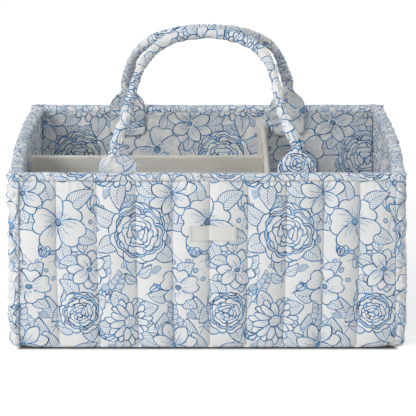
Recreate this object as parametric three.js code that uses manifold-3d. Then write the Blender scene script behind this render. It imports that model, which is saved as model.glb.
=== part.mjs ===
// A quilted fabric caddy with padded walls, two rope handles and a lift-out divider.
// Millimetres, +Z up, the front faces -Y. The origin is on the floor under the middle of the caddy.
import * as THREE from "three";
import { mergeVertices } from "three/addons/utils/BufferGeometryUtils.js";
import Module from "manifold-3d";

const wasm = await Module();
wasm.setup();

// Body, measured over the hem at the corners of the rim
const rimLength = 380;
const rimDepth = 256;
const bodyHeight = 180;
const flareShare = 0.028;
const rimBow = 5;
const footBow = 3;

// Fits
const gap = 0.3;
const overrun = 1;

// Quilted outer panels
const seamThickness = 3;
const frontCrown = 6.5;
const sideCrown = 8;
const frontChannels = 10;
const sideChannels = 7;
const seamSetIn = 0.5;
const layCornerRadius = 1.5;
const footClear = 0.4;
const footRound = 9;
const footEdge = 1.2;
const hemRun = 24;

// Boards and linings inside the panels
const wallBoard = 2;
const boardSetBack = 5;
const wallLining = 1.2;
const bottomPanel = 2.5;
const baseBoard = 3;
const bottomLining = 2;

// Hem round the rim
const hemDepth = 9;
const hemCloth = 1.5;
const hemLip = 0.8;
const hemRoll = 5.5;
const hemRollCentre = 2.3;
const mitreSetIn = 0.7;
const sharpRadius = 0.5;

// Handles
const handleSpan = 172;
const sleeveRadius = 5.8;
const sleeveCloth = 1;
const ropeRadius = 4.3;
const neckRise = 21.5;
const handleRise = 111.5;
const neckBendRise = 11;
const neckBendRun = 13;
const legArm = 30;
const archReach = 79;
const legLeanShare = 0.3;

// Handle tabs
const tabWidth = 37;
const tabThickness = 3;
const tabDrop = 32;
const tabRound = 8;
const tabStep = 2;

// Divider insert
const dividerDrop = 20;
const dividerBoard = 2.4;
const coverCloth = 1;
const flangeWidth = 12;
const flangeCloth = 1.2;
const dividerClear = 1.5;
const stripLength = 120;
const stripThickness = 1.2;
const stripRiseShare = 0.62;

// Label
const labelLength = 46;
const labelHeight = 15;
const labelThickness = 0.6;
const labelX = 5;
const labelZ = 120;

// Facets
const tabSides = 16;
const sleeveSides = 12;
const ropeSides = 8;
const handleSteps = 38;

// Places across one channel, round the foot, under the hem and round a corner
const channelShares = [0, 0.12, 0.36, 0.64, 0.88];
const footShares = [0, 0.3, 0.6, 0.8, 1];
const hemRunShares = [0, 0.35, 0.65, 0.87, 1];
const wallStepShares = [0.33, 0.67];
const cornerShares = [0, 0.35, 0.7, 1];
const cornerFullShares = [0.12, 0.42];
const puffPowerShare = 0.6;

// Rise up the tab, width between neck and full, thickness between cloth and neck
const tabNeckShares = [
  [0, 1, 0],
  [0.2, 0.97, 0.08],
  [0.4, 0.82, 0.25],
  [0.6, 0.52, 0.5],
  [0.8, 0.2, 0.82],
  [1, 0, 1],
];
const tabRoundShares = [0.95, 0.65, 0.3, 0];
const flatCornerShare = 0.4;

// The lay line is where the quilting meets the board. Offsets from it are positive outwards.
const hemOutside = hemRollCentre + hemRoll;
const layHalfX = rimLength / 2 - hemOutside;
const layHalfY = rimDepth / 2 - hemOutside;
const boardOuter = -gap;
const boardInner = boardOuter - wallBoard;
const liningOuter = boardInner - gap;
const liningInner = liningOuter - wallLining;
const hemInnerOuter = liningInner - gap;
const hemInside = hemInnerOuter - hemCloth;
const sidePitch = (2 * layHalfY) / sideChannels;

// Heights
const hemFoot = bodyHeight - hemDepth;
const hemSlotTop = bodyHeight - hemCloth;
const wallTop = hemSlotTop - gap;
const boardFoot = bottomPanel + gap;
const liningFoot = boardFoot + baseBoard + gap;
const floorTop = liningFoot + bottomLining;
const dividerFoot = floorTop + gap;
const dividerTop = bodyHeight - dividerDrop;
const neckZ = bodyHeight + neckRise;

function layEdgeX(z) {
  return layHalfX * (1 + flareShare * (1 - z / bodyHeight));
}

function layX(y, z) {
  const bow = footBow + ((rimBow - footBow) * z) / bodyHeight;
  return layEdgeX(z) + bow * Math.max(0, 1 - (y / layHalfY) ** 2);
}

function seamX(z) {
  return layEdgeX(z) - layCornerRadius - seamSetIn;
}

// Places along a side wall at which every layer has a point, so that the layers stay parallel
function bowPlaces(limit) {
  const places = [];
  for (let i = 1; i < sideChannels; i += 1) {
    const y = -layHalfY + i * sidePitch;
    if (Math.abs(y) < limit) places.push(y);
  }
  return places;
}

// A closed solid through loops of plan points, one loop for each height, all counter-clockwise
function loft(loops, heights) {
  const count = loops[0].length;
  const positions = [];
  const faces = [];
  loops.forEach((loop, i) => loop.forEach(([x, y]) => positions.push(x, y, heights[i])));
  for (let i = 0; i + 1 < loops.length; i += 1) {
    for (let j = 0; j < count; j += 1) {
      const a = i * count + j;
      const b = i * count + ((j + 1) % count);
      faces.push(a, b, b + count, a, b + count, a + count);
    }
  }
  addCap(faces, loops[0], 0, true);
  addCap(faces, loops.at(-1), (loops.length - 1) * count, false);
  const geometry = new THREE.BufferGeometry();
  geometry.setAttribute("position", new THREE.Float32BufferAttribute(positions, 3));
  geometry.setIndex(faces);
  geometry.computeVertexNormals();
  return geometry;
}

function addCap(faces, loop, first, facesDown) {
  const outline = loop.map(([x, y]) => new THREE.Vector2(x, y));
  for (const [a, b, c] of THREE.ShapeUtils.triangulateShape(outline, [])) {
    if (facesDown) faces.push(first + c, first + b, first + a);
    else faces.push(first + a, first + b, first + c);
  }
}

function toSolid(geometry) {
  const bare = geometry.clone();
  bare.deleteAttribute("normal");
  bare.deleteAttribute("uv");
  const merged = mergeVertices(bare);
  return new wasm.Manifold(new wasm.Mesh({
    numProp: 3,
    vertProperties: merged.getAttribute("position").array,
    triVerts: Uint32Array.from(merged.index.array),
  }));
}

function toGeometry(solid) {
  const mesh = solid.getMesh();
  const geometry = new THREE.BufferGeometry();
  geometry.setAttribute("position", new THREE.BufferAttribute(mesh.vertProperties, 3));
  geometry.setIndex(new THREE.BufferAttribute(mesh.triVerts, 1));
  geometry.computeVertexNormals();
  return geometry;
}

function prism(points, foot, top) {
  const shape = new THREE.Shape(points.map(([x, y]) => new THREE.Vector2(x, y)));
  const geometry = new THREE.ExtrudeGeometry(shape, { depth: top - foot, bevelEnabled: false });
  return geometry.translate(0, 0, foot);
}

// A plate between two corners
function plate([x0, y0, z0], [x1, y1, z1]) {
  const geometry = new THREE.BoxGeometry(x1 - x0, y1 - y0, z1 - z0);
  return geometry.translate((x0 + x1) / 2, (y0 + y1) / 2, (z0 + z1) / 2);
}

// The whole plan outline of the body at one height, offset from the lay line
function layLoop(offset, z) {
  const radius = Math.max(layCornerRadius + offset, sharpRadius);
  const centreX = layEdgeX(z) + offset - radius;
  const centreY = layHalfY + offset - radius;
  const corner = cornerShares.map((share) => {
    const angle = (share * Math.PI) / 2;
    return [radius * Math.sin(angle), radius * Math.cos(angle)];
  });
  const frontRight = corner.map(([x, y]) => [centreX + x, -centreY - y]);
  const side = bowPlaces(centreY).map((y) => [layX(y, z) + offset, y]);
  const backRight = corner.map(([x, y]) => [centreX + x, centreY + y]).reverse();
  const right = [...frontRight, ...side, ...backRight];
  return [...right, ...right.map(([x, y]) => [-x, y]).reverse()];
}

function layPlate(offset, foot, top) {
  return loft([layLoop(offset, foot), layLoop(offset, top)], [foot, top]);
}

// Heights of a quilted panel: rounded at the foot, full above it and flat under the hem
function quiltLevels(middleShares) {
  const foot = footShares.map((share) => {
    const angle = (share * Math.PI) / 2;
    return { z: footClear + footRound * (1 - Math.cos(angle)), puff: 1, edge: Math.sin(angle) };
  });
  const top = hemFoot - gap;
  const fullFoot = footClear + footRound;
  const fullHeight = top - hemRun - fullFoot;
  const middle = middleShares.map((share) => ({ z: fullFoot + share * fullHeight, puff: 1, edge: 1 }));
  const under = hemRunShares.map((share) => {
    return { z: top - hemRun * (1 - share), puff: Math.cos((share * Math.PI) / 2), edge: 1 };
  });
  return [...foot, ...middle, ...under, { z: wallTop, puff: 0, edge: 1 }];
}

function quiltThickness(across, level, crown) {
  const fullness = Math.sin(Math.PI * across) ** puffPowerShare;
  const full = seamThickness + (crown - seamThickness) * fullness * level.puff;
  return footEdge + (full - footEdge) * level.edge;
}

function frontPanelLoop(level) {
  const half = seamX(level.z) - gap / 2;
  const pitch = (2 * half) / frontChannels;
  const outer = [];
  for (let i = 0; i < frontChannels; i += 1) {
    for (const across of channelShares) {
      const thickness = quiltThickness(across, level, frontCrown);
      outer.push([-half + (i + across) * pitch, -layHalfY - thickness]);
    }
  }
  outer.push([half, -layHalfY - quiltThickness(1, level, frontCrown)]);
  return [...outer, [half, -layHalfY], [-half, -layHalfY]];
}

// Half of a side panel's face, from the seam on the front, round the corner, to the middle
function sidePlaces(z) {
  const [arcStart, arcEnd] = cornerFullShares;
  const centreX = layEdgeX(z) - layCornerRadius;
  const centreY = layHalfY - layCornerRadius;
  const places = [{ x: seamX(z) + gap / 2, y: -layHalfY, nx: 0, ny: -1, across: 0 }];
  for (const share of cornerShares) {
    const nx = Math.sin((share * Math.PI) / 2);
    const ny = -Math.cos((share * Math.PI) / 2);
    const across = arcStart + (arcEnd - arcStart) * share;
    places.push({ x: centreX + layCornerRadius * nx, y: -centreY + layCornerRadius * ny, nx, ny, across });
  }
  for (let i = 0; i < sideChannels; i += 1) {
    for (const across of channelShares) {
      const y = -layHalfY + (i + across) * sidePitch;
      const inCorner = i === 0 && across <= arcEnd;
      if (y < 0 && !inCorner) places.push({ x: layX(y, z), y, nx: 1, ny: 0, across });
    }
  }
  return places;
}

function sidePanelLoop(level) {
  const half = sidePlaces(level.z);
  const outerHalf = half.map(({ x, y, nx, ny, across }) => {
    const thickness = quiltThickness(across, level, sideCrown);
    return [x + nx * thickness, y + ny * thickness];
  });
  const corner = half.slice(0, 1 + cornerShares.length).map(({ x, y }) => [x, y]);
  const edges = bowPlaces(layHalfY).map((y) => [layX(y, level.z), y]);
  const inner = [...corner, ...edges, ...corner.map(([x, y]) => [x, -y]).reverse()];
  const outer = [...outerHalf, ...outerHalf.map(([x, y]) => [x, -y]).reverse()];
  return [...outer, ...inner.reverse()];
}

function quiltedPanel(panelLoop, middleShares) {
  const levels = quiltLevels(middleShares);
  return loft(levels.map(panelLoop), levels.map(({ z }) => z));
}

// A layer inside the front wall, between two offsets, ending the same distance from both corners
function frontLayer(outer, inner, endSetBack, foot, top) {
  const loop = (z) => {
    const end = layEdgeX(z) - endSetBack;
    return [[-end, -layHalfY - outer], [end, -layHalfY - outer], [end, -layHalfY - inner], [-end, -layHalfY - inner]];
  };
  return loft([loop(foot), loop(top)], [foot, top]);
}

function sideLayer(outer, inner, endSetBack, foot, top) {
  const end = layHalfY - endSetBack;
  const places = [-end, ...bowPlaces(end), end];
  const loop = (z) => [
    ...places.map((y) => [layX(y, z) + outer, y]),
    ...places.map((y) => [layX(y, z) + inner, y]).reverse(),
  ];
  const heights = [0, ...wallStepShares, 1].map((share) => foot + share * (top - foot));
  return loft(heights.map(loop), heights);
}

// The padded hem as one ring over the top of all four walls
function hemRing() {
  const rise = hemDepth / 2;
  const rollShares = [-0.65, -0.35, 0, 0.35, 0.7, 1];
  const outer = rollShares.map((share) => {
    const angle = (share * Math.PI) / 2;
    return [hemRollCentre + hemRoll * Math.cos(angle), hemFoot + rise * (1 + Math.sin(angle))];
  });
  outer.unshift([seamThickness + gap + hemLip, hemFoot]);
  const inner = [
    [hemInside, hemFoot - overrun],
    [hemInside, bodyHeight - hemCloth],
    [hemInside + hemCloth / 2, bodyHeight - hemCloth / 3],
    [hemInside + 2 * hemCloth, bodyHeight],
    [hemInside + 2 * hemCloth, bodyHeight + overrun],
  ];
  const stack = (levels) => toSolid(loft(levels.map(([offset, z]) => layLoop(offset, z)), levels.map(([, z]) => z)));
  const slot = stack([[seamThickness + gap, hemFoot - overrun], [seamThickness + gap, hemSlotTop]])
    .subtract(stack([[hemInnerOuter, hemFoot - 2 * overrun], [hemInnerOuter, bodyHeight + overrun]]));
  return stack(outer).subtract(stack(inner)).subtract(slot);
}

// The hem is sewn at a mitre from the corner seam to the inner corner
function hemPieces() {
  const ring = hemRing();
  const far = rimLength / 2 + rimBow + hemOutside;
  const outY = rimDepth / 2 + overrun;
  const inY = layHalfY + hemInside - overrun;
  const outX = seamX(bodyHeight) - gap / 2;
  const inX = layHalfX + hemInside - mitreSetIn - gap / 2;
  const cut = (points) => toGeometry(ring.intersect(toSolid(prism(points, hemFoot - overrun, bodyHeight + overrun))));
  return {
    front: cut([[-outX, -outY], [outX, -outY], [inX, -inY], [-inX, -inY]]),
    side: cut([
      [outX + gap, -outY], [far, -outY], [far, outY],
      [outX + gap, outY], [inX + gap, inY], [inX + gap, -inY],
    ]),
  };
}

// Handle tab: a flat spade against the wall below the rim that gathers to a round neck above it
const tabFaceY = layHalfY + hemInside - gap;
const tabLiningY = layHalfY + liningInner - gap;
const neckY = tabFaceY - tabThickness / 2;
const neckX = handleSpan / 2;
const sleeveFoot = neckZ + gap;

function tabSection({ width, thickness, y, roundness }) {
  const power = flatCornerShare + (1 - flatCornerShare) * roundness;
  const loop = [];
  for (let i = 0; i < tabSides; i += 1) {
    const angle = (2 * Math.PI * i) / tabSides;
    const across = Math.sign(Math.cos(angle)) * Math.abs(Math.cos(angle)) ** power;
    const through = Math.sign(Math.sin(angle)) * Math.abs(Math.sin(angle)) ** power;
    loop.push([(width / 2) * across, y + (thickness / 2) * through]);
  }
  return loop;
}

function handleTab() {
  const innerY = tabFaceY - tabThickness;
  const lowThickness = tabLiningY - innerY;
  const lowY = (tabLiningY + innerY) / 2;
  const foot = bodyHeight - tabDrop;
  const levels = tabRoundShares.map((share) => {
    const angle = (share * Math.PI) / 2;
    const width = tabWidth - 2 * tabRound * (1 - Math.cos(angle));
    const z = foot + tabRound * (1 - Math.sin(angle));
    return { z, width, thickness: lowThickness, y: -lowY, roundness: 0 };
  });
  const stepTop = hemFoot - gap;
  levels.push({ z: stepTop - tabStep, width: tabWidth, thickness: lowThickness, y: -lowY, roundness: 0 });
  levels.push({ z: stepTop, width: tabWidth, thickness: tabThickness, y: -neckY, roundness: 0 });
  for (const [rise, wide, thick] of tabNeckShares) {
    levels.push({
      z: bodyHeight + rise * neckRise,
      width: 2 * sleeveRadius + (tabWidth - 2 * sleeveRadius) * wide,
      thickness: tabThickness + (2 * sleeveRadius - tabThickness) * thick,
      y: -neckY,
      roundness: thick,
    });
  }
  return loft(levels.map(tabSection), levels.map(({ z }) => z));
}

// The front handle's centre line: a bend at each neck, then two legs that meet in an arch
function handleLine() {
  const topY = sleeveRadius + gap / 2;
  const top = new THREE.Vector3(0, -topY, bodyHeight + handleRise);
  const start = new THREE.Vector3(neckX, -neckY, sleeveFoot);
  const bend = new THREE.Vector3(neckX, -neckY, sleeveFoot + neckBendRise);
  const lean = top.clone().sub(bend).setX(0).normalize().setX(-legLeanShare).normalize();
  const legFoot = bend.clone().addScaledVector(lean, neckBendRun);
  const legArmEnd = legFoot.clone().addScaledVector(lean, legArm);
  const archArm = top.clone().setX(archReach);
  const mirror = (point) => point.clone().setX(-point.x);
  const line = new THREE.CurvePath();
  line.add(new THREE.QuadraticBezierCurve3(start, bend, legFoot));
  line.add(new THREE.CubicBezierCurve3(legFoot, legArmEnd, archArm, top));
  line.add(new THREE.CubicBezierCurve3(top, mirror(archArm), mirror(legArmEnd), mirror(legFoot)));
  line.add(new THREE.QuadraticBezierCurve3(mirror(legFoot), mirror(bend), mirror(start)));
  return line;
}

function sweepRound(radius, bore, sides) {
  const shape = new THREE.Shape();
  shape.absarc(0, 0, radius, 0, 2 * Math.PI, false);
  if (bore > 0) {
    const hole = new THREE.Path();
    hole.absarc(0, 0, bore, 0, 2 * Math.PI, true);
    shape.holes.push(hole);
  }
  return new THREE.ExtrudeGeometry(shape, {
    steps: handleSteps,
    curveSegments: sides / 2,
    extrudePath: handleLine(),
    bevelEnabled: false,
  });
}

// Divider insert: two covered boards in a T, each end with a flange that carries a hook strip
const dividerThickness = dividerBoard + 2 * gap + 2 * coverCloth;
const dividerX = neckX - tabWidth / 2 - dividerClear - flangeWidth / 2;
const reachY = layHalfY + hemInside - gap;
const reachX = layX(0, bodyHeight) + hemInside - gap;
const coverEndY = reachY - stripThickness - gap;
const coverEndX = reachX - stripThickness - gap;
const stripFoot = dividerFoot + stripRiseShare * (dividerTop - dividerFoot - stripLength);

// Plan outline of a cover along Y with a flange at the front end, and one at the back if asked
function coverOutline(front, back, backFlange) {
  const web = dividerThickness / 2;
  const wing = flangeWidth / 2;
  const frontEnd = [[-web, front + flangeCloth], [-wing, front + flangeCloth], [-wing, front],
    [wing, front], [wing, front + flangeCloth], [web, front + flangeCloth]];
  const backEnd = [[web, back - flangeCloth], [wing, back - flangeCloth], [wing, back],
    [-wing, back], [-wing, back - flangeCloth], [-web, back - flangeCloth]];
  return [...frontEnd, ...(backFlange ? backEnd : [[web, back], [-web, back]])];
}

function dividerCover(front, back, backFlange) {
  const half = dividerBoard / 2 + gap;
  const cover = toSolid(prism(coverOutline(front, back, backFlange), dividerFoot, dividerTop));
  const pocket = plate(
    [-half, front + flangeCloth, dividerFoot - overrun],
    [half, back - flangeCloth, dividerTop - coverCloth],
  );
  return toGeometry(cover.subtract(toSolid(pocket)));
}

function dividerCore(front, back) {
  const inset = flangeCloth + gap;
  return plate(
    [-dividerBoard / 2, front + inset, dividerFoot],
    [dividerBoard / 2, back - inset, dividerTop - coverCloth - gap],
  );
}

// The long divider is drawn along Y and turned so that its front end points to -X
const longFront = -coverEndX;
const longBack = dividerX - dividerThickness / 2 - gap;

function endStrip(x, faceY) {
  return plate(
    [x - flangeWidth / 2, -faceY, stripFoot],
    [x + flangeWidth / 2, -faceY + stripThickness, stripFoot + stripLength],
  );
}

function sideHookStrip() {
  return plate(
    [-reachX, -flangeWidth / 2, stripFoot],
    [-reachX + stripThickness, flangeWidth / 2, stripFoot + stripLength],
  );
}

function sideLoopStrip() {
  const loop = (z) => {
    const face = layX(flangeWidth / 2, z) + liningInner - gap;
    const half = flangeWidth / 2;
    return [[-face, -half], [-face + stripThickness, -half], [-face + stripThickness, half], [-face, half]];
  };
  return loft([loop(stripFoot), loop(stripFoot + stripLength)], [stripFoot, stripFoot + stripLength]);
}

function label() {
  const faceY = layHalfY + frontCrown + gap;
  return plate(
    [labelX - labelLength / 2, -faceY - labelThickness, labelZ - labelHeight / 2],
    [labelX + labelLength / 2, -faceY, labelZ + labelHeight / 2],
  );
}

const caddy = new THREE.Group();

function add(name, geometry, { color, roughness }, turned = false, x = 0) {
  const material = new THREE.MeshStandardMaterial({ color, roughness, metalness: 0 });
  const mesh = new THREE.Mesh(geometry, material);
  mesh.name = name;
  mesh.position.x = x;
  if (turned) mesh.rotation.z = Math.PI;
  caddy.add(mesh);
}

const finishes = {
  print: { color: 0xe9e8e2, roughness: 0.85 },
  lining: { color: 0xdfdfd9, roughness: 0.9 },
  plain: { color: 0xe6e3db, roughness: 0.9 },
  board: { color: 0xd8d6d0, roughness: 0.6 },
  rope: { color: 0xe8dfc8, roughness: 0.95 },
  tape: { color: 0xf0efec, roughness: 0.95 },
};

function addWalls() {
  const front = quiltedPanel(frontPanelLoop, []);
  const side = quiltedPanel(sidePanelLoop, wallStepShares);
  const boards = {
    front: frontLayer(boardOuter, boardInner, boardSetBack, boardFoot, wallTop),
    side: sideLayer(boardOuter, boardInner, boardSetBack, boardFoot, wallTop),
  };
  const linings = {
    front: frontLayer(liningOuter, liningInner, -liningOuter, liningFoot, wallTop),
    side: sideLayer(liningOuter, liningInner, gap - liningInner, liningFoot, wallTop),
  };
  const hems = hemPieces();
  const walls = [["front", "front", false], ["back", "front", true], ["right", "side", false], ["left", "side", true]];
  for (const [wall, kind, turned] of walls) {
    add(`${wall}_panel`, kind === "front" ? front : side, finishes.print, turned);
    add(`${wall}_stiffener`, boards[kind], finishes.board, turned);
    add(`${wall}_lining`, linings[kind], finishes.lining, turned);
    add(`${wall}_hem`, hems[kind], finishes.print, turned);
  }
}

function addBottom() {
  add("bottom_panel", layPlate(-gap, 0, bottomPanel), finishes.print);
  add("base_board", layPlate(boardInner - gap, boardFoot, boardFoot + baseBoard), finishes.board);
  add("bottom_lining", layPlate(liningInner - gap, liningFoot, floorTop), finishes.lining);
}

function addHandles() {
  const tab = handleTab();
  add("front_left_tab", tab, finishes.print, false, -neckX);
  add("front_right_tab", tab, finishes.print, false, neckX);
  add("back_left_tab", tab, finishes.print, true, -neckX);
  add("back_right_tab", tab, finishes.print, true, neckX);
  const sleeve = sweepRound(sleeveRadius, sleeveRadius - sleeveCloth, sleeveSides);
  const rope = sweepRound(ropeRadius, 0, ropeSides);
  add("front_handle_sleeve", sleeve, finishes.print);
  add("front_handle_core", rope, finishes.rope);
  add("back_handle_sleeve", sleeve, finishes.print, true);
  add("back_handle_core", rope, finishes.rope, true);
}

function addDivider() {
  add("cross_divider_cover", dividerCover(-coverEndY, coverEndY, true), finishes.plain, false, dividerX);
  add("cross_divider_board", dividerCore(-coverEndY, coverEndY), finishes.board, false, dividerX);
  const longTurn = -Math.PI / 2;
  add("long_divider_cover", dividerCover(longFront, longBack, false).rotateZ(longTurn), finishes.plain);
  add("long_divider_board", dividerCore(longFront, longBack).rotateZ(longTurn), finishes.board);
  add("front_hook_strip", endStrip(dividerX, reachY), finishes.tape);
  add("back_hook_strip", endStrip(-dividerX, reachY), finishes.tape, true);
  add("side_hook_strip", sideHookStrip(), finishes.tape);
  add("front_loop_strip", endStrip(dividerX, layHalfY + liningInner - gap), finishes.tape);
  add("back_loop_strip", endStrip(-dividerX, layHalfY + liningInner - gap), finishes.tape, true);
  add("side_loop_strip", sideLoopStrip(), finishes.tape);
}

addWalls();
addBottom();
addHandles();
addDivider();
add("blank_label", label(), finishes.tape);

export default caddy;
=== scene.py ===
# Dresses the quilted caddy: walls, hem, linings, handles, divider, label and stitching.
# Metres, +Z up, the front faces -Y. Every size that follows the frame is read from it.
import math

import bmesh
import bpy
import numpy as np
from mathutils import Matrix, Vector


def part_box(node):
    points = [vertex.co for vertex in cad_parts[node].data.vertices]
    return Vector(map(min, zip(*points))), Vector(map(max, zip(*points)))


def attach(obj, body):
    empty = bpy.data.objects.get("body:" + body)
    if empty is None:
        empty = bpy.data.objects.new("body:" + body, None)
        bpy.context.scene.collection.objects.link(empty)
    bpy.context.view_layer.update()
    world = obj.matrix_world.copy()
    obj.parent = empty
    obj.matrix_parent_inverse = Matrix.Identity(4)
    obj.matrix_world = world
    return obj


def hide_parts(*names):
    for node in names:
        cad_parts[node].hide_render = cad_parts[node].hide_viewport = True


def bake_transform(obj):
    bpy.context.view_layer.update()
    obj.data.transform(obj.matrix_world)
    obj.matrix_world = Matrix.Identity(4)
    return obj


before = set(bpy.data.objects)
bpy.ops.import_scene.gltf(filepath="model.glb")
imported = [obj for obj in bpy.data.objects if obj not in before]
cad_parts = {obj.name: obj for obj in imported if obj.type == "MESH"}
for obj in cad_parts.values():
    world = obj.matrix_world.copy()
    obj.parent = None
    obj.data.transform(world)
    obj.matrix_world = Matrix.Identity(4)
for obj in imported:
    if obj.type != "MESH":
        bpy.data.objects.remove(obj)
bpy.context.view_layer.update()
scene = bpy.context.scene
mm = 0.001
print("frame loaded")

# The body that every layer follows, read from the frame's boxes
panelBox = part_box("front_panel")
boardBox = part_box("front_stiffener")
body = {
    "halfY": -panelBox[1].y,
    "rim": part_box("front_hem")[1].z,
    "hemFoot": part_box("front_hem")[0].z + 1.3 * mm,
    "foot": panelBox[0].z,
    "wallTop": panelBox[1].z,
    "flare": 0.028,
    "rimBow": 5 * mm,
    "footBow": 3 * mm,
    "boardSetBack": 5 * mm,
    "cornerRadius": 1.5 * mm,
    "seamSetIn": 0.5 * mm,
    "gap": 0.06 * mm,
}
footShare = 1 - boardBox[0].z / body["rim"]
body["halfX"] = (boardBox[1].x + body["boardSetBack"]) / (1 + body["flare"] * footShare)


def layEdge(z):
    return body["halfX"] * (1 + body["flare"] * (1 - z / body["rim"]))


def layX(y, z):
    bow = body["footBow"] + (body["rimBow"] - body["footBow"]) * z / body["rim"]
    return layEdge(z) + bow * np.maximum(0, 1 - (y / body["halfY"]) ** 2)


def seamX(z):
    return layEdge(z) - body["cornerRadius"] - body["seamSetIn"]


# Shared helpers. From 0 to 1 as a value passes from start to start + run
def climb(value, start, run):
    return np.clip((value - start) / run, 0, 1)


def ease(t):
    return t * t * (3 - 2 * t)


def fade(distance, reach):
    return np.exp(-np.maximum(distance, 0) / reach)


def hill(value, reach):
    return np.exp(-(value / reach) ** 2)


# Parts of any matching shapes as one array of points or places
def stack(*parts):
    return np.stack(np.broadcast_arrays(*parts), -1)


# Smooth cloth-like noise from -1 to 1, the same on every run
def softNoise(across, up, sizeAcross, sizeUp, seed):
    table = np.random.RandomState(seed).uniform(-1, 1, (67, 67))
    u, v = np.broadcast_arrays(np.asarray(across) / sizeAcross, np.asarray(up) / sizeUp)
    i, j = np.floor(u).astype(int), np.floor(v).astype(int)
    s, t = ease(u - i), ease(v - j)
    low, high = (table[i % 67, k % 67] * (1 - s) + table[(i + 1) % 67, k % 67] * s for k in (j, j + 1))
    return low * (1 - t) + high * t


# Noise with sharp valleys, as creases in cloth have
def creaseNoise(*settings):
    return 1.5 * np.abs(softNoise(*settings)) - 0.5


# Cloth that lies unevenly. A form is the height, size across and size up of its waves.
def uneven(form, across, up, seed, noise=softNoise):
    return form[0] * noise(across, up, *form[1:], seed)


def runningLength(points):
    steps = np.linalg.norm(np.diff(points, axis=0), axis=1)
    return np.concatenate([[0], np.cumsum(steps)])


# The back and the left are the front and the right turned half round
def turnFor(place, points):
    return points * np.array([-1, -1, 1]) if place in ("back", "left") else points


# A mesh from rings of points, with a cap on the first and the last
def gridMesh(points, uv):
    rows, columns = points.shape[:2]
    row, column = np.mgrid[: rows - 1, :columns]
    corners = [(row, column), (row, column + 1), (row + 1, column + 1), (row + 1, column)]
    quads = np.stack([r * columns + c % columns for r, c in corners], -1).reshape(-1, 4)
    places = np.stack([uv[r, np.minimum(c, uv.shape[1] - 1)] for r, c in corners], 2).reshape(-1, 2)
    faces, loops = quads.tolist(), places.tolist()
    for r, order in ((0, range(columns - 1, -1, -1)), (rows - 1, range(columns))):
        faces.append([r * columns + c for c in order])
        loops += [list(uv[r, c]) for c in order]
    mesh = bpy.data.meshes.new("grid")
    mesh.from_pydata(points.reshape(-1, 3).tolist(), [], faces)
    mesh.uv_layers.new(name="clothUv").data.foreach_set("uv", np.array(loops, np.float32).ravel())
    return mesh


def addObject(name, data):
    added = bpy.data.objects.new(name, data)
    scene.collection.objects.link(added)
    return added


# Gives a piece its finish, hangs it on the body that carries it and hides the frame nodes it stands for
def dress(piece, look, carrier, slot, *nodes):
    piece.data.materials.clear()
    piece.data.materials.append(finish[look])
    if nodes:
        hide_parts(*nodes)
    if carrier:
        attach(piece, carrier)


# One smooth piece from grids of points and cloth places
def makePiece(name, grids, look, carrier, slot, *nodes):
    work = bmesh.new()
    for points, uv in grids:
        raw = gridMesh(points, uv)
        work.from_mesh(raw)
        bpy.data.meshes.remove(raw)
    bmesh.ops.recalc_face_normals(work, faces=work.faces)
    mesh = bpy.data.meshes.new(name)
    work.to_mesh(mesh)
    work.free()
    mesh.shade_smooth()
    piece = addObject(name, mesh)
    if look in ("print", "lining"):
        printOn(mesh)
    dress(piece, look, carrier, slot, *nodes)
    return piece


# The print: one repeat of line-drawn flowers and leaves, laid back to front in millimetres.
# Every motif is a set of blades, each a petal, leaf or stem with its outline, rib and veins.
drawing = {
    "repeat": 158,
    "outline": 0.54,
    "soft": 0.18,
    "vein": 0.125,
    "layers": 4,
    "wander": 1.7,
    "tremble": 0.35,
    "waveSizes": [(23, 19, 4.1, 4.7, 201), (21, 24, 4.4, 3.9, 203)],
    "bare": [-9, 9, 0.5, -1, 0, 0, 0],
}


def blade(length, half, turn=0.0, x=0.0, y=0.0, **look):
    base = {"rise": 0.8, "fall": 0.9, "bend": 0.0, "notch": 0.0, "veins": "side", "step": 3.0, "reach": 0.9,
            "rib": 0.34, "stalk": 0.0, "tone": 1.0, "wash": 0.0, "seed": 0.0}
    return {**base, "length": length, "half": half, "turn": turn, "x": x, "y": y, **look}


def stem(length, rib, turn=0.0, x=0.0, y=0.0, **look):
    return blade(length, 0, turn, x, y, veins="stem", rib=rib, **look)


# A set of blades moved, turned by some degrees, toned and sized as one
def placed(blades, x, y, degrees, tone=1.0, size=1.0):
    turn = math.radians(degrees)
    c, s = math.cos(turn) * size, math.sin(turn) * size
    moved = []
    for b in blades:
        grown = {key: b[key] * size for key in ("length", "half", "bend", "stalk")}
        moved.append({**b, **grown, "x": x + b["x"] * c - b["y"] * s, "y": y + b["x"] * s + b["y"] * c,
                      "turn": b["turn"] + turn, "tone": b["tone"] * tone})
    return moved


def petalRing(count, petalLength, half, turn, rng, **look):
    petals = []
    for k in range(count):
        length = petalLength * rng.uniform(0.93, 1.06)
        angle = turn + 2 * math.pi * (k + rng.uniform(-0.1, 0.1)) / count
        bend = rng.uniform(-0.06, 0.06) * petalLength
        petals.append(blade(length, half * rng.uniform(0.92, 1.08), angle, bend=bend, seed=7.0 * k,
                            **{"veins": "fan", "rib": 0, **look}))
    return petals


def camellia(reach, seed):
    rng = np.random.RandomState(seed)
    rings = [(7, 1, 0.45), (6, 0.84, 0.43), (6, 0.68, 0.35), (5, 0.52, 0.31), (4, 0.37, 0.27),
             (3, 0.22, 0.19)]
    flower = []
    for ring, (count, share, spread) in enumerate(rings):
        flower += petalRing(count, reach * share, reach * spread, 0.7 * ring, rng, rise=0.95, fall=0.36,
                            notch=0.06, step=2.6, wash=0.1 * ring, veins="edge" if ring == 1 else "fan")
    return flower


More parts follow.
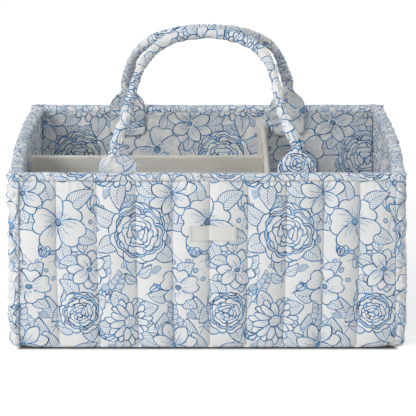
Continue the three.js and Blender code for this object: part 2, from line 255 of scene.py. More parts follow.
def stamens(count, inner, outer, rng):
    threads = []
    for k in range(count):
        turn = 2 * math.pi * (k + rng.uniform(-0.3, 0.3)) / count
        far = outer * rng.uniform(0.78, 1.1)
        c, s = math.cos(turn), math.sin(turn)
        bend, tipTurn = rng.uniform(-0.6, 0.6), rng.uniform(-0.7, 0.7)
        threads.append(stem(far - inner, 0.26, turn, inner * c, inner * s, reach=1, bend=bend))
        threads.append(stem(1.9, 0.62, turn + tipTurn, far * c, far * s, reach=1))
    return threads


def disc(radius, veins, step, wash):
    turn = 0.4
    return blade(2 * radius, radius, turn, -radius * math.cos(turn), -radius * math.sin(turn), rise=0.5,
                 fall=0.5, veins=veins, step=step, reach=0.8, rib=0, wash=wash)


# Open flowers: petal rings (count, reach, half width, turn), petals' look, threads (count, start, end), heart
openFlowers = {
    "blossom": ([(5, 1, 0.46, 0.3)], {"fall": 0.38, "step": 5.6, "reach": 0.7, "notch": 0.12, "wash": 0.14},
                (17, 0.12, 0.33), (0.12, "side", 1.3, 0.75)),
    "daisy": ([(11, 1, 0.15, 0), (11, 0.86, 0.15, 0.29)],
              {"rise": 0.6, "fall": 0.42, "step": 2.2, "reach": 0.8, "wash": 0.2},
              (15, 0.08, 0.2), (0.25, "fan", 3.2, 0.7)),
    "star": ([(4, 1, 0.27, 0.2), (4, 0.92, 0.27, 0.98)],
             {"rise": 0.85, "fall": 0.7, "step": 4.4, "reach": 0.7, "rib": 0.3, "wash": 0.15},
             (11, 0.1, 0.3), (0.1, "side", 1.2, 0.75)),
}


def openFlower(kind, reach, seed):
    rings, look, (count, start, end), (radius, veins, step, wash) = openFlowers[kind]
    rng = np.random.RandomState(seed)
    petals = []
    for number, share, half, turn in rings:
        petals += petalRing(number, reach * share, reach * half, turn, rng, **look)
    threads = stamens(count, reach * start, reach * end, rng)
    heart = [disc(reach * radius, veins, step, wash)]
    return petals + (heart + threads if kind == "daisy" else threads + heart)


def bud(size, bend):
    look = {"rise": 0.7, "fall": 0.5, "veins": "fan", "step": 2.4, "reach": 0.85, "rib": 0, "wash": 0.2}
    petals = [blade(size * long, size * half, turn, **look)
              for long, half, turn in ((1, 0.3, 0.28), (1, 0.3, -0.28), (1.08, 0.27, 0))]
    cup = [blade(size * 0.55, size * 0.12, turn, veins="none", rib=0.25, wash=0.3)
           for turn in (0.62, -0.62, 0.05)]
    return [stem(size * 1.3, 0.36, math.pi + 0.15, bend=bend)] + petals + cup


def leaf(length, half, bend, turn=0.0, x=0.0, y=0.0, stalk=5.0, **look):
    return blade(length, half, turn, x, y, bend=bend, stalk=stalk, rise=0.75, fall=0.95, rib=0.36, **look)


# Leaves of uneven sizes round a flower, to stand behind it
def whorl(angles, start, length, half, seed):
    rng = np.random.RandomState(seed)
    leaves = []
    for turn in map(math.radians, angles):
        leaves.append(leaf(length * rng.uniform(0.8, 1.15), half, rng.uniform(-5, 5), turn,
                           start * math.cos(turn), start * math.sin(turn)))
    return leaves


# A curved stem with pairs of leaflets that grow shorter towards its tip
def sprig(length, pairs, leaflet, half, lean, bend, wash=0.0):
    grown = [stem(length, 0.36, bend=bend)]
    for k in range(pairs):
        share = 0.14 + 0.8 * k / pairs
        x, y = share * length, 4 * bend * share * (1 - share)
        slope = math.atan2(4 * bend * (1 - 2 * share), length)
        size = 1 - 0.55 * k / pairs
        for side in (-1, 1):
            grown.append(blade(leaflet * size, half * size, slope + side * lean, x + side * 0.9, y,
                               veins="none", rib=0.24, bend=side * 0.08 * leaflet, wash=wash))
    return grown + [blade(leaflet * 0.5, half * 0.5, 0, length, 0, veins="none", rib=0.22, wash=wash)]


def berries(count):
    step = 6
    grown = [stem(count * step, 0.3, bend=2.0)]
    for k in range(count):
        x, side = (k + 0.6) * step, 1 if k % 2 else -1
        grown.append(stem(5.5, 0.26, side * 0.9, x, 1.2))
        grown.append(blade(4.4, 2.0, side * 0.9, x + 3.6, 1.2 + side * 4.3, rise=0.5, fall=0.5, veins="none",
                           rib=0, wash=0.5))
    return grown


# The repeat, back to front: blades, place, turn in degrees, tone if not 1, size if not 1
def layRepeat():
    frond = sprig(50, 8, 13, 2.9, 0.85, 5)
    twig = sprig(36, 5, 11, 3.6, 0.7, -4, 0.2)
    branch = [stem(46, 0.42, bend=-3), leaf(30, 8, -4, 0.15, 44, 0), leaf(27, 7.5, 4, 0.9, 30, -2),
              leaf(27, 7.5, -5, -0.85, 22, -2), leaf(22, 6.5, 4, 0.95, 10, -1)]
    chip = [leaf(10, 3.2, 1.2, stalk=2, step=2, wash=0.6)]
    stamps = [
        (frond, 64, 152, 172, 0.7), (frond, 100, 92, -8, 0.7), (frond, 2, 4, 60, 0.7, 0.9),
        (frond, 60, 34, -35, 0.7, 0.9), (twig, 66, 22, 85, 0.75), (twig, 158, 56, 58, 0.75),
        (twig, 10, 92, 235, 0.7, 0.9), (twig, 112, 72, 20, 0.75, 0.9), (berries(6), 74, 100, -50, 0.8),
        (berries(5), 146, 118, 75, 0.8), (berries(5), 44, 58, 20, 0.8, 0.95),
        (branch, 92, 6, 62, 0.95), (branch, 156, 98, 172, 0.9, 0.9), (branch, 32, 64, 84, 0.9, 0.7),
        (branch, 60, 8, 115, 0.9, 0.7),
        (bud(17, 0), 94, 98, 70), (bud(16, 1), 6, 66, 250), (bud(17, -1), 150, 14, 20),
        (bud(15, 0), 64, 68, 215), (bud(16, -1), 150, 142, 100),
        (chip, 70, 110, 100, 0.7), (chip, 52, 82, 30, 0.65), (chip, 118, 92, 150, 0.7),
        (chip, 4, 156, 60, 0.65), (chip, 88, 38, -30, 0.7), (chip, 156, 64, 10, 0.65),
        (whorl((15, 75, 150, 205, 262, 320), 20, 33, 9, 3), 38, 122, 0, 0.95), (camellia(31, 5), 38, 122, 8),
        (whorl((40, 110, 190, 285, 335), 16, 30, 8.5, 8), 110, 132, 0, 0.92),
        (openFlower("blossom", 28, 9), 110, 132, 20),
        (whorl((10, 95, 165, 240, 300), 13, 27, 8, 12), 26, 30, 20, 0.92),
        (openFlower("daisy", 25, 15), 26, 30, 12),
        (whorl((30, 120, 200, 290), 12, 25, 8, 21), 132, 40, 0, 0.92), (camellia(22, 23), 132, 40, 40),
        (whorl((60, 190, 310), 10, 22, 7, 31), 80, 66, 0, 0.9), (openFlower("blossom", 20, 33), 80, 66, 70),
        (whorl((0, 140, 250), 9, 20, 6.5, 41), 142, 86, 30, 0.9), (openFlower("star", 22, 43), 142, 84, 70),
        (whorl((80, 250), 9, 22, 6.5, 47), 74, 4, 30, 0.9), (openFlower("star", 25, 49), 74, 4, 10),
    ]
    return [b for stamp in stamps for b in placed(*stamp)]


# Signed distance to a blade's outline. Blunt ends are measured along the blade, the sides across it.
def outlineGap(b, share, held, side):
    rise, fall, length = b["rise"], b["fall"], b["length"]
    peak = (rise / (rise + fall)) ** rise * (fall / (rise + fall)) ** fall
    half = b["half"] * held ** rise * (1 - held) ** fall / peak
    slope = half * (rise / held - fall / (1 - held)) / length
    across = (half - side) / np.sqrt(1 + slope ** 2)
    tip = held > rise / (rise + fall)
    power = np.where(tip, fall, rise)
    full = half / np.where(tip, 1 - held, held) ** power
    reach = np.clip(side / full, 0.001, 1.2) ** (1 / power)
    steep = length * reach / (power * np.maximum(side, 0.01))
    along = length * (np.where(tip, 1 - share, share) - reach) / np.sqrt(1 + steep ** 2)
    blunt = np.clip(np.abs(slope) * 1.5 - 0.8, 0, 1)
    beyond = (share < 0) | (share > 1)
    return np.where(beyond, np.minimum(along, -0.02), across + (along - across) * blunt), half


# What a blade is at each point: distance to its outline, distance to its rib, place among its veins,
# rib width, vein strength, tone and wash
def measureBlade(b, x, y):
    dx, dy = x - b["x"], y - b["y"]
    c, s = math.cos(b["turn"]), math.sin(b["turn"])
    along, off = dx * c + dy * s, dy * c - dx * s
    length = b["length"]
    share = along / length
    held = np.clip(share, 0.001, 0.999)
    off = off - 4 * b["bend"] * held * (1 - held)
    side = np.abs(off)
    ribEnd = np.clip((b["reach"] - share) * length / 1.5, 0, 1) * np.clip(along + b["stalk"] + 1, 0, 1)
    ribWidth = b["rib"] * (1 - 0.45 * held) * ribEnd - 0.4 * (1 - ribEnd) if b["rib"] else -1.0
    if b["veins"] == "stem":
        return stack(-9.0, off, 0.5, ribWidth, 0, b["tone"], 0)
    if b["notch"]:
        share = share / (1 - b["notch"] * hill(off, 0.3 * b["half"]))
        held = np.clip(share, 0.001, 0.999)
    inside, half = outlineGap(b, share, held, side)
    wash, veins, shown = b["wash"], 0.5, 0
    if b["veins"] == "side":
        veins = (along - 1.1 * side) / b["step"] + 0.3
        shown = np.clip((0.9 - share) / 0.1, 0, 1) * np.clip(share / 0.06, 0, 1) * 0.85
    elif b["veins"] == "edge":
        veins = (inside - b["step"]) / 8
        shown = climb(share, 0.5, 0.1)
    elif b["veins"] == "fan":
        wash = wash * np.clip(1 - share / 0.7, 0, 1)
        veins = b["step"] * off / np.maximum(half, 0.3)
        end = b["reach"] * (0.66 + 0.34 * np.sin(2.4 * np.round(veins) + b["seed"] + 1))
        shown = np.clip((end - share) * length / 4, 0, 1)
    return stack(inside, off, veins, ribWidth, shown, b["tone"], wash)


# Puts one blade in front of those already laid on the faces near it
def layBlade(layers, near, found):
    inside, off, width = found[..., 0], found[..., 1], found[..., 3]
    touched = (inside.max(1) > -0.7) | ((np.abs(off).min(1) < 2) & (width.max(1) > 0))
    covering = inside.min(1) > 0.8
    near, found, covering = near[touched], found[touched], covering[touched]
    for k in range(len(layers) - 1, 0, -1):
        layers[k][near] = layers[k - 1][near]
        for part in (0, 3):
            layers[k][near[covering], :, part] = drawing["bare"][part]
    layers[0][near] = found


# Gives every face of a mesh the blades on it, front one first, as attributes at its corners
def printOn(mesh):
    total = len(mesh.loops)
    uv = np.empty(2 * total, np.float32)
    mesh.uv_layers["clothUv"].data.foreach_get("uv", uv)
    starts, sides = np.empty((2, len(mesh.polygons)), np.int32)
    mesh.polygons.foreach_get("loop_start", starts)
    mesh.polygons.foreach_get("loop_total", sides)
    corners = starts[sides == 4][:, None] + np.arange(4)[None, :]
    across, up = np.moveaxis(uv.reshape(-1, 2).astype(float)[corners] / mm, -1, 0)
    size = drawing["repeat"]
    moved = []
    for value, (wide, tall, fine, low, seed) in zip((across, up), drawing["waveSizes"]):
        value = value + (drawing["wander"] * softNoise(across, up, wide, tall, seed)
                         + drawing["tremble"] * softNoise(across, up, fine, low, seed + 1))
        moved.append(value - size * np.floor(value.mean(1, keepdims=True) / size))
    x, y = moved
    midX, midY = x.mean(1), y.mean(1)
    bare = np.array(drawing["bare"], float)
    layers = [np.tile(bare, (len(corners), 4, 1)) for _ in range(drawing["layers"])]
    for b in layRepeat():
        reach = 0.5 * b["length"] + b["half"] + abs(b["bend"]) + b["stalk"] + 1.5
        centreX = b["x"] + 0.5 * b["length"] * math.cos(b["turn"])
        centreY = b["y"] + 0.5 * b["length"] * math.sin(b["turn"])
        for moveX, moveY in ((i, j) for i in (-size, 0, size) for j in (-size, 0, size)):
            if max(abs(centreX + moveX - size / 2), abs(centreY + moveY - size / 2)) < size / 2 + reach:
                apart = np.maximum(np.abs(midX - centreX - moveX), np.abs(midY - centreY - moveY))
                near = np.nonzero(apart < reach)[0]
                if len(near):
                    layBlade(layers, near, measureBlade(b, x[near] - moveX, y[near] - moveY))
    for k, layer in enumerate(layers):
        for name, kind, field, part in (("lines", "FLOAT_VECTOR", "vector", slice(0, 3)),
                                        ("looks", "FLOAT_COLOR", "color", slice(3, 7))):
            values = np.tile(bare[part], (total, 1)).astype(np.float32)
            values[corners] = layer[..., part]
            mesh.attributes.new(f"{name}{k}", kind, "CORNER").data.foreach_set(field, values.ravel())


# Shader formulas: a wire is a socket that adds, multiplies and compares
class Wire:
    def __init__(self, tree, socket):
        self.tree = tree
        self.socket = socket

    def op(self, operation, other=None, third=None, clamp=False):
        inputs = enumerate((self, other, third))
        return addNode(self.tree, "Math", inputs, operation=operation, use_clamp=clamp)

    def __add__(self, other):
        return self.op("ADD", other)

    def __sub__(self, other):
        return self.op("SUBTRACT", other)

    def __mul__(self, other):
        return self.op("MULTIPLY", other)

    def most(self, other):
        return self.op("MAXIMUM", other)

    def scaled(self, factor, shift, clamp=False):
        return self.op("MULTIPLY_ADD", factor, shift, clamp)

    def twin(self, output):
        return Wire(self.tree, self.socket.node.outputs[output])


def plug(tree, entry, value):
    if isinstance(value, Wire):
        tree.links.new(value.socket, entry)
    elif value is not None:
        entry.default_value = value


# A shader node with its inputs and settings, as the wire from one of its outputs
def addNode(tree, kind, inputs=(), output=0, **settings):
    node = tree.nodes.new("ShaderNode" + kind)
    for name, value in settings.items():
        setattr(node, name, value)
    for key, value in dict(inputs).items():
        plug(tree, node.inputs[key], value)
    return Wire(tree, node.outputs[output])


# 1 nearer to a line than its half width, 0 past it, with a soft edge
def stroke(distance, width, soft):
    if isinstance(width, Wire):
        return (width - distance).scaled(1 / soft, 0.5, True)
    return distance.scaled(-1 / soft, width / soft + 0.5, True)


def vectorParts(tree, vector):
    x = addNode(tree, "SeparateXYZ", {0: vector})
    return x, x.twin(1), x.twin(2)


def readAttribute(tree, name):
    vector = addNode(tree, "Attribute", output="Vector", attribute_name=name)
    return *vectorParts(tree, vector), vector.twin("Alpha")


def noise(tree, vector, scale, detail, rough=0.5):
    inputs = {"Vector": vector, "Scale": scale, "Detail": detail, "Roughness": rough}
    return addNode(tree, "TexNoise", inputs, "Fac")


def multiplied(tree, vector, factors):
    return addNode(tree, "VectorMath", {0: vector, 1: factors}, operation="MULTIPLY")


def mixColour(tree, share, first, second):
    return addNode(tree, "Mix", {0: share, 6: first, 7: second}, 2, data_type="RGBA")


def objectPlace(tree):
    return addNode(tree, "TexCoord", output="Object")


# Ink of the print from 0 to 1, from the distances that printOn leaves on a piece
def printInk(tree, press):
    ink = None
    soft = drawing["soft"]
    for k in reversed(range(drawing["layers"])):
        inside, off, veins, _ = readAttribute(tree, f"lines{k}")
        ribWidth, shown, tone, wash = readAttribute(tree, f"looks{k}")
        outline = stroke(inside.op("ABSOLUTE"), press, soft)
        cover = inside.scaled(5, 0.5, True)
        rib = stroke(off.op("ABSOLUTE"), ribWidth, soft)
        vein = stroke(veins.op("PINGPONG", 0.5), drawing["vein"], 0.08) * shown * cover
        line = outline.most(rib).most(vein * 0.95).most(cover * wash) * tone
        ink = line if ink is None else (ink * cover.scaled(-1, 1)).most(line)
    return ink


# Materials. Colours are the light and the dark one of each mix.
def newMaterial(name, roughness, sheen=0.0):
    material = bpy.data.materials.new(name)
    material.use_nodes = True
    tree = material.node_tree
    shader = next(n for n in tree.nodes if n.type == "BSDF_PRINCIPLED")
    for key, value in (("Roughness", roughness), ("Specular IOR Level", 0.25), ("Sheen Weight", sheen),
                       ("Sheen Roughness", 0.6)):
        shader.inputs[key].default_value = value
    return material, tree, shader


def finishShader(tree, shader, colour, height, strength, depth):
    plug(tree, shader.inputs["Base Color"], colour)
    bump = addNode(tree, "Bump", {"Strength": strength, "Distance": depth, "Height": height})
    plug(tree, shader.inputs["Normal"], bump)


# A piece's own cloth coordinates in millimetres
def clothPlace(tree):
    return multiplied(tree, addNode(tree, "UVMap", uv_map="clothUv"), (1000, 1000, 0))


# Plain weave: threads over and under, with a little crinkle
def weaveHeight(tree, place, thread, crinkle):
    x, y, _ = vectorParts(tree, place)
    over = (x * (math.pi / thread)).op("SINE") * (y * (math.pi / thread)).op("SINE")
    return over * 0.06 + noise(tree, place, 1 / crinkle, 3, 0.55)


clothLook = {
    "ground": ((0.868, 0.872, 0.865, 1), (0.762, 0.768, 0.768, 1)),
    "inkPale": (0.075, 0.3, 0.58, 1),
    "inkDeep": (0.006, 0.06, 0.175, 1),
    "thread": 0.5,
    "crinkle": 5.5,
}


def printedCloth(name, crinkleDepth):
    material, tree, shader = newMaterial(name, 0.85, 0.15)
    place = clothPlace(tree)
    stain, speckle = noise(tree, place, 0.03, 2), noise(tree, place, 0.9, 2, 0.7)
    ground = mixColour(tree, (stain + speckle).scaled(1.4, -0.9, True), *clothLook["ground"])
    patch = noise(tree, place, 0.13, 2)
    ink = printInk(tree, patch.scaled(0.35, drawing["outline"] - 0.17))
    depth = patch.scaled(3.2, -1.15, True) * ink
    inkColour = mixColour(tree, depth, clothLook["inkPale"], clothLook["inkDeep"])
    height = weaveHeight(tree, place, clothLook["thread"], clothLook["crinkle"])
    finishShader(tree, shader, mixColour(tree, ink, ground, inkColour), height, 0.6, crinkleDepth)
    return material


def plainCloth(name, colour, shade, roughness=0.9, thread=0.6, depth=0.0005):
    material, tree, shader = newMaterial(name, roughness, 0.15)
    place = clothPlace(tree)
    mixed = mixColour(tree, noise(tree, place, 0.16, 4, 0.6), colour, shade)
    finishShader(tree, shader, mixed, weaveHeight(tree, place, thread, 7), 0.6, depth)
    return material


# Fibres on solids without cloth coordinates, from their place in space
def solidFinish(name, colour, shade, roughness, grain, depth):
    material, tree, shader = newMaterial(name, roughness)
    fibre = noise(tree, objectPlace(tree), grain, 4, 0.6)
    finishShader(tree, shader, mixColour(tree, fibre, colour, shade), fibre, 0.5, depth)
    return material


finish = {
    "print": printedCloth("printedQuilt", 0.0011),
    "lining": printedCloth("crinkledLining", 0.0016),
    "plain": plainCloth("plainCotton", (0.72, 0.69, 0.63, 1), (0.64, 0.61, 0.55, 1)),
    "label": plainCloth("wovenLabel", (0.77, 0.77, 0.74, 1), (0.7, 0.7, 0.67, 1), 0.6, 0.35, 0.0002),
    "tape": plainCloth("pileTape", (0.8, 0.8, 0.78, 1), (0.68, 0.68, 0.66, 1), 0.95, 0.9, 0.001),
    "thread": solidFinish("sewingThread", (0.62, 0.59, 0.54, 1), (0.52, 0.49, 0.44, 1), 0.7, 900, 0.0001),
    "rope": solidFinish("cottonRope", (0.76, 0.7, 0.56, 1), (0.62, 0.55, 0.42, 1), 0.95, 700, 0.0003),
    "board": solidFinish("stiffBoard", (0.7, 0.69, 0.66, 1), (0.6, 0.59, 0.55, 1), 0.65, 400, 0.0002),
}
print("materials made")

# Quilted walls: cloth over wadding, sewn down in channels
quilt = {
    "groove": 1.3 * mm,
    "hemGroove": 3.2 * mm,
    "frontCrown": 7.7 * mm,
    "sideCrown": 8.6 * mm,
    "footEdge": 4.4 * mm,
    "footRound": 4.6 * mm,
    "hemRun": 9 * mm,
    "hemPuff": 0.45,
    "fullness": 0.62,
    "grooveShares": np.array([0, 0.096, 0.204, 0.308, 0.407, 0.505, 0.607, 0.710, 0.810, 0.905, 1]),
    "sideChannels": 7,
    "columns": 28,
    "rowStep": 1.3 * mm,
    "wobble": (0.5 * mm, 1 / 7.7, 45 * mm),
    "seamLean": 4 * mm,
    "crumple": {"right": (1.1 * mm, 1.3 * mm), "left": (1.3 * mm, 2.1 * mm)},
    "crumpleRun": 12 * mm,
    "seamFold": (1, 9 * mm, 3.2 * mm),
    "seamHeight": 0.6 * mm,
    "seamBunch": 0.9,
    "seamReach": 5 * mm,
    "hemFold": (1.25 * mm, 2.7 * mm, 14 * mm),
    "hemReach": 8 * mm,
    "hemTuck": 1.1 * mm,
    "tuckReach": 1.3 * mm,
    "gather": (1, 3.4 * mm, 9 * mm),
    "gatherReach": 22 * mm,
    "crease": (1.5, 4.6 * mm, 6.5 * mm),
    "lie": (0.6 * mm, 31 * mm, 42 * mm),
    "crinkle": (0.2 * mm, 6 * mm, 5 * mm),
    "looseRun": 4 * mm,
    "calmEdge": 6 * mm,
    "cornerLift": 2.4 * mm,
    "liftReach": 3 * mm,
    "liftRise": 5 * mm,
    "taper": 3.6 * mm,
    "taperRun": 6 * mm,
    "taperReach": 9 * mm,
    "taperRise": 40 * mm,
    "stubEnd": 0.12,
    "arcEnd": 0.42,
    "faceStart": 0.64,
    "fill": 0.45,
}


def quiltHeights():
    angles = np.linspace(0, math.pi / 2, 12)
    foot = body["foot"] + quilt["footRound"] * (1 - np.cos(angles))
    top = body["hemFoot"]
    middle = np.arange(foot[-1] + quilt["rowStep"], top, quilt["rowStep"])
    return np.concatenate([foot, middle, [top, (top + body["wallTop"]) / 2, body["wallTop"]]])[:, None]


def quiltThickness(across, z, crown):
    under = climb(z, body["hemFoot"] - quilt["hemRun"], quilt["hemRun"])
    covered = climb(z, body["hemFoot"], mm)
    puff = quilt["hemPuff"] * (1 - covered) + (1 - quilt["hemPuff"]) * np.cos(under * math.pi / 2)
    full = np.sin(math.pi * np.clip(across, 0, 1)) ** quilt["fullness"]
    deep = quilt["groove"] + (quilt["hemGroove"] - quilt["groove"]) * under ** 2
    thickness = deep + (crown - deep) * full * puff
    spread = np.sqrt(1 - (1 - climb(z, body["foot"], quilt["footRound"])) ** 2)
    return quilt["footEdge"] + (thickness - quilt["footEdge"]) * spread


# Small folds: across the seams, under the hem, bunched at the corners and over the whole cloth
def quiltFolds(along, across, pitch, z, seed, bunch=0.0):
    toSeam = np.minimum(across, 1 - across) * pitch
    under = body["hemFoot"] - z
    seams = (quilt["seamHeight"] + quilt["seamBunch"] * bunch) * fade(toSeam, quilt["seamReach"])
    seams = seams * uneven(quilt["seamFold"], along, z, seed)
    hem = fade(under, quilt["hemReach"]) * uneven(quilt["hemFold"], along, z, seed + 1)
    hem = hem - quilt["hemTuck"] * hill(under, quilt["tuckReach"])
    loose = uneven(quilt["lie"], along, z, seed + 2) + uneven(quilt["crinkle"], along, z, seed + 3)
    gathers = uneven(quilt["gather"], along + 0.35 * z, z - along, seed + 4, creaseNoise)
    creases = uneven(quilt["crease"], along - 0.3 * z, z + 0.6 * along, seed + 5, creaseNoise)
    loose = loose + bunch * (fade(under, quilt["gatherReach"]) * gathers + creases)
    calm = quilt["calmEdge"]
    awake = climb(z, body["foot"], calm) * np.clip((body["wallTop"] - z) / calm, 0, 1)
    return (seams + hem + loose * np.minimum(1, toSeam / quilt["looseRun"])) * awake


# Fuller seam and narrower foot at the corners
def cornerShape(toCorner, z):
    low = 1 - climb(z, body["foot"], quilt["taperRise"])
    lift = fade(toCorner, quilt["liftReach"]) * climb(z, body["foot"], quilt["liftRise"])
    narrow = low ** 2 * fade(toCorner - quilt["taperRun"], quilt["taperReach"])
    return quilt["cornerLift"] * lift - quilt["taper"] * narrow


# Places across a channel, closer together near its seams
def channelSteps():
    even = np.linspace(0, 1, quilt["columns"] + 1)[:-1]
    return 0.5 * even + 0.5 * (0.5 - 0.5 * np.cos(math.pi * even))


def frontQuilt(place, seed):
    z, shares = quiltHeights(), quilt["grooveShares"]
    channels = len(shares) - 1
    across = np.append(np.tile(channelSteps(), channels), 1.0)
    channel = np.append(np.repeat(np.arange(channels), quilt["columns"]), channels - 1)
    left, right = shares[channel], shares[channel + 1]
    half = seamX(z) - body["gap"] / 2
    low = 1 - climb(z, body["foot"], body["hemFoot"] - body["foot"])
    lean = quilt["seamLean"] * low ** 2 * np.clip((0.5 - shares) / 0.2, -1, 1)
    sway = [uneven(quilt["wobble"], i, z, seed + 9) for i in range(channels + 1)]
    sway = np.concatenate(sway, 1) + lean
    sway[:, [0, -1]] = 0
    shift = sway[:, channel] * (1 - across) + sway[:, channel + 1] * across
    x = -half + (left + (right - left) * across) * 2 * half + shift
    folds = quiltFolds(x, across, (right - left) * 2 * half, z, seed)
    thickness = quiltThickness(across, z, quilt["frontCrown"]) + folds
    thickness = np.maximum(thickness + cornerShape(half - np.abs(x), z), mm)
    inner = stack(np.concatenate([half, -half], 1), -body["halfY"], z)
    seams = np.arange(channels + 1) * quilt["columns"]
    return quiltWall(place, stack(x, -body["halfY"] - thickness, z), inner, seed, seams)


# The side cloth starts at the front seam, goes round the corner and ends at the back seam
def sideBase(z):
    last, radius, steps = quilt["sideChannels"], body["cornerRadius"], channelSteps()
    pitch = 2 * body["halfY"] / last
    stubEnd, arcEnd, faceStart = quilt["stubEnd"], quilt["arcEnd"], quilt["faceStart"]
    first = np.concatenate([np.linspace(0, stubEnd, 5)[:-1], np.linspace(stubEnd, arcEnd, 17)[:-1],
                            arcEnd + (1 - arcEnd) * np.linspace(0, 1, 25) ** 0.8])
    places = np.concatenate([first[:-1]] + [i + steps for i in range(1, last - 1)] + [last - first[::-1]])
    mirrored = np.minimum(places, last - places)
    side = np.where(places > last / 2, 1, -1)
    arc = climb(mirrored, stubEnd, arcEnd - stubEnd) * math.pi / 2
    edge = layEdge(z) - radius
    yArc = body["halfY"] - radius
    y = np.interp(mirrored, [0, arcEnd, faceStart, 1, last / 2],
                  [yArc, yArc, body["halfY"] - faceStart * pitch, body["halfY"] - pitch, 0])
    y = np.where(mirrored < arcEnd, yArc, y) + radius * np.cos(arc)
    stub = seamX(z) + body["gap"] / 2
    onStub = stub + (edge - stub) * np.clip(mirrored / stubEnd, 0, 1)
    onArc = edge + radius * np.sin(arc)
    x = np.where(mirrored < stubEnd, onStub, np.where(mirrored < arcEnd, onArc, layX(y, z)))
    return places, x, side * y + 0 * z, np.sin(arc), side * np.cos(arc)


def sideQuilt(place, seed):
    z = quiltHeights()
    channels = quilt["sideChannels"]
    places, x, y, normalX, normalY = sideBase(z)
    across = places - np.minimum(np.floor(places), channels - 1)
    pitch = 2 * body["halfY"] / channels
    along = places * pitch
    toCorner = np.minimum(along, along[-1] - along)
    bunch = np.where(along < along[-1] / 2, *quilt["crumple"][place])
    bunch = bunch * fade(toCorner - quilt["crumpleRun"], quilt["crumpleRun"])
    thickness = quiltThickness(across, z, quilt["sideCrown"])
    thickness = thickness + quiltFolds(along, across, pitch, z, seed, bunch)
    thickness = np.maximum(thickness + cornerShape(toCorner, z), mm)
    outer = stack(x + normalX * thickness, y + normalY * thickness, z)
    pick = np.append(np.arange(0, len(places), 14), len(places) - 1)[::-1]
    seams = np.abs(places[:, None] - np.arange(channels + 1)).argmin(0)
    return quiltWall(place, outer, stack(x[:, pick], y[:, pick], z), seed, seams)


# Builds one wall, and returns its skin, where its seams are and how its cloth runs on into the hem
def quiltWall(place, outer, inner, seed, seams):
    u = runningLength(outer[len(outer) // 2])
    v = runningLength(outer[:, outer.shape[1] // (2 * len(quilt["grooveShares"]))])
    start = (0.37 * seed) % 1
    innerU = np.linspace(u[-1], u[-1] + 0.37, inner.shape[1] + 1)
    uv = stack(start + np.append(u, innerU), v[:, None])
    points = turnFor(place, np.concatenate([outer, inner], 1))
    piece = makePiece(f"{place}_quilt", [(points, uv)], "print", "caddy", "print_cloth", f"{place}_panel")
    return {"skin": outer, "seams": seams, "shares": u[seams] / u[-1], "start": start, "length": u[-1],
            "top": float(np.interp(body["hemFoot"], outer[:, 0, 2], v))}


walls = {
    "front": frontQuilt("front", 11),
    "back": frontQuilt("back", 23),
    "right": sideQuilt("right", 37),
    "left": sideQuilt("left", 53),
}
print("walls quilted")

# The padded hem, one strip along each wall, mitred at the corners. Pairs are for the front and the sides.
hem = {
    "setIn": 0.7 * mm,
    "inside": 5.6 * mm,
    "lean": 7.8 * mm,
    "step": 1.4 * mm,
    "tall": body["rim"] - body["hemFoot"],
    "tapeClear": 0.7 * mm,
    "tapeHalf": 10 * mm,
    "tapeFade": 8 * mm,
    "cornerRun": (0, 13 * mm),
    "gatherRun": (5 * mm, 7 * mm),
    "pucker": (0.55 * mm, 2.4 * mm, 20 * mm),
    "puckerRise": 1 * mm,
    "puckerReach": 3 * mm,
    "seamDip": 0.8 * mm,
    "dipReach": 2.5 * mm,
    "dipRise": 4 * mm,
    "roll": (0.4 * mm, 13 * mm, 9 * mm),
    "sideCrease": (1.9 * mm, 4.6 * mm, 9 * mm),
    "gather": (2.5 * mm, 3.4 * mm, 7 * mm),
    "innerShare": 0.35,
    "innerMost": 2.5 * mm,
    "calmFoot": 1.2 * mm,
    "droop": (0.35 * mm, 24 * mm, 1),
    "shownOffsets": np.array([3.9, 5.2, 6, 6.4, 6.4, 6, 4.9, 3, 0.2, -2.6, -4.5, -5.5, -5.6, -5.2,
                              -4.5]) * mm,
    "shownRises": np.array([0, 4, 17, 38, 62, 82, 95, 100, 97, 88, 76, 56, 32, 12, 1]) / 100,
    "shownColumns": 44,
    "lineColumn": 12,
    "slotOffsets": np.array([-4.1, -4.1, -2.4, 3.4, 3.4]) * mm,
    "slotRises": np.array([0.06, 0.58, 0.72, 0.78, 0.06]),
    "fill": 0.35,
}


def smoothLine(points, count):
    length = runningLength(points)
    padded = np.concatenate([[2 * points[0] - points[1]], points, [2 * points[-1] - points[-2]]])
    at = np.linspace(0, length[-1], count)
    i = np.clip(np.searchsorted(length, at, "right") - 1, 0, len(points) - 2)
    t = ((at - length[i]) / (length[i + 1] - length[i]))[:, None]
    a, b, c, d = (padded[i + k] for k in range(4))
    curve = (2 * a - 5 * b + 4 * c - d) * t ** 2 + (3 * b - a - 3 * c + d) * t ** 3
    return 0.5 * (2 * b + (c - a) * t + curve)


hemShown = smoothLine(stack(hem["shownOffsets"], hem["shownRises"] * hem["tall"]), hem["shownColumns"])
hemSlot = stack(hem["slotOffsets"], hem["slotRises"] * hem["tall"])


# Where the mitre between two strips runs, with half the gap on one side of it
def mitreX(offset, halfGap):
    outer = seamX(body["rim"]) + halfGap
    inner = body["halfX"] - hem["inside"] - hem["setIn"] + halfGap
    return inner + (outer - inner) * climb(offset, -hem["inside"], hem["inside"] + hem["lean"])


# Plan places and outward directions along one strip, for each offset from the lay line
def frontHemPath(offset):
    share = np.linspace(-1, 1, int(2 * body["halfX"] / hem["step"]))[:, None]
    return share * mitreX(offset, -body["gap"] / 2), -body["halfY"] - offset, 0, -1


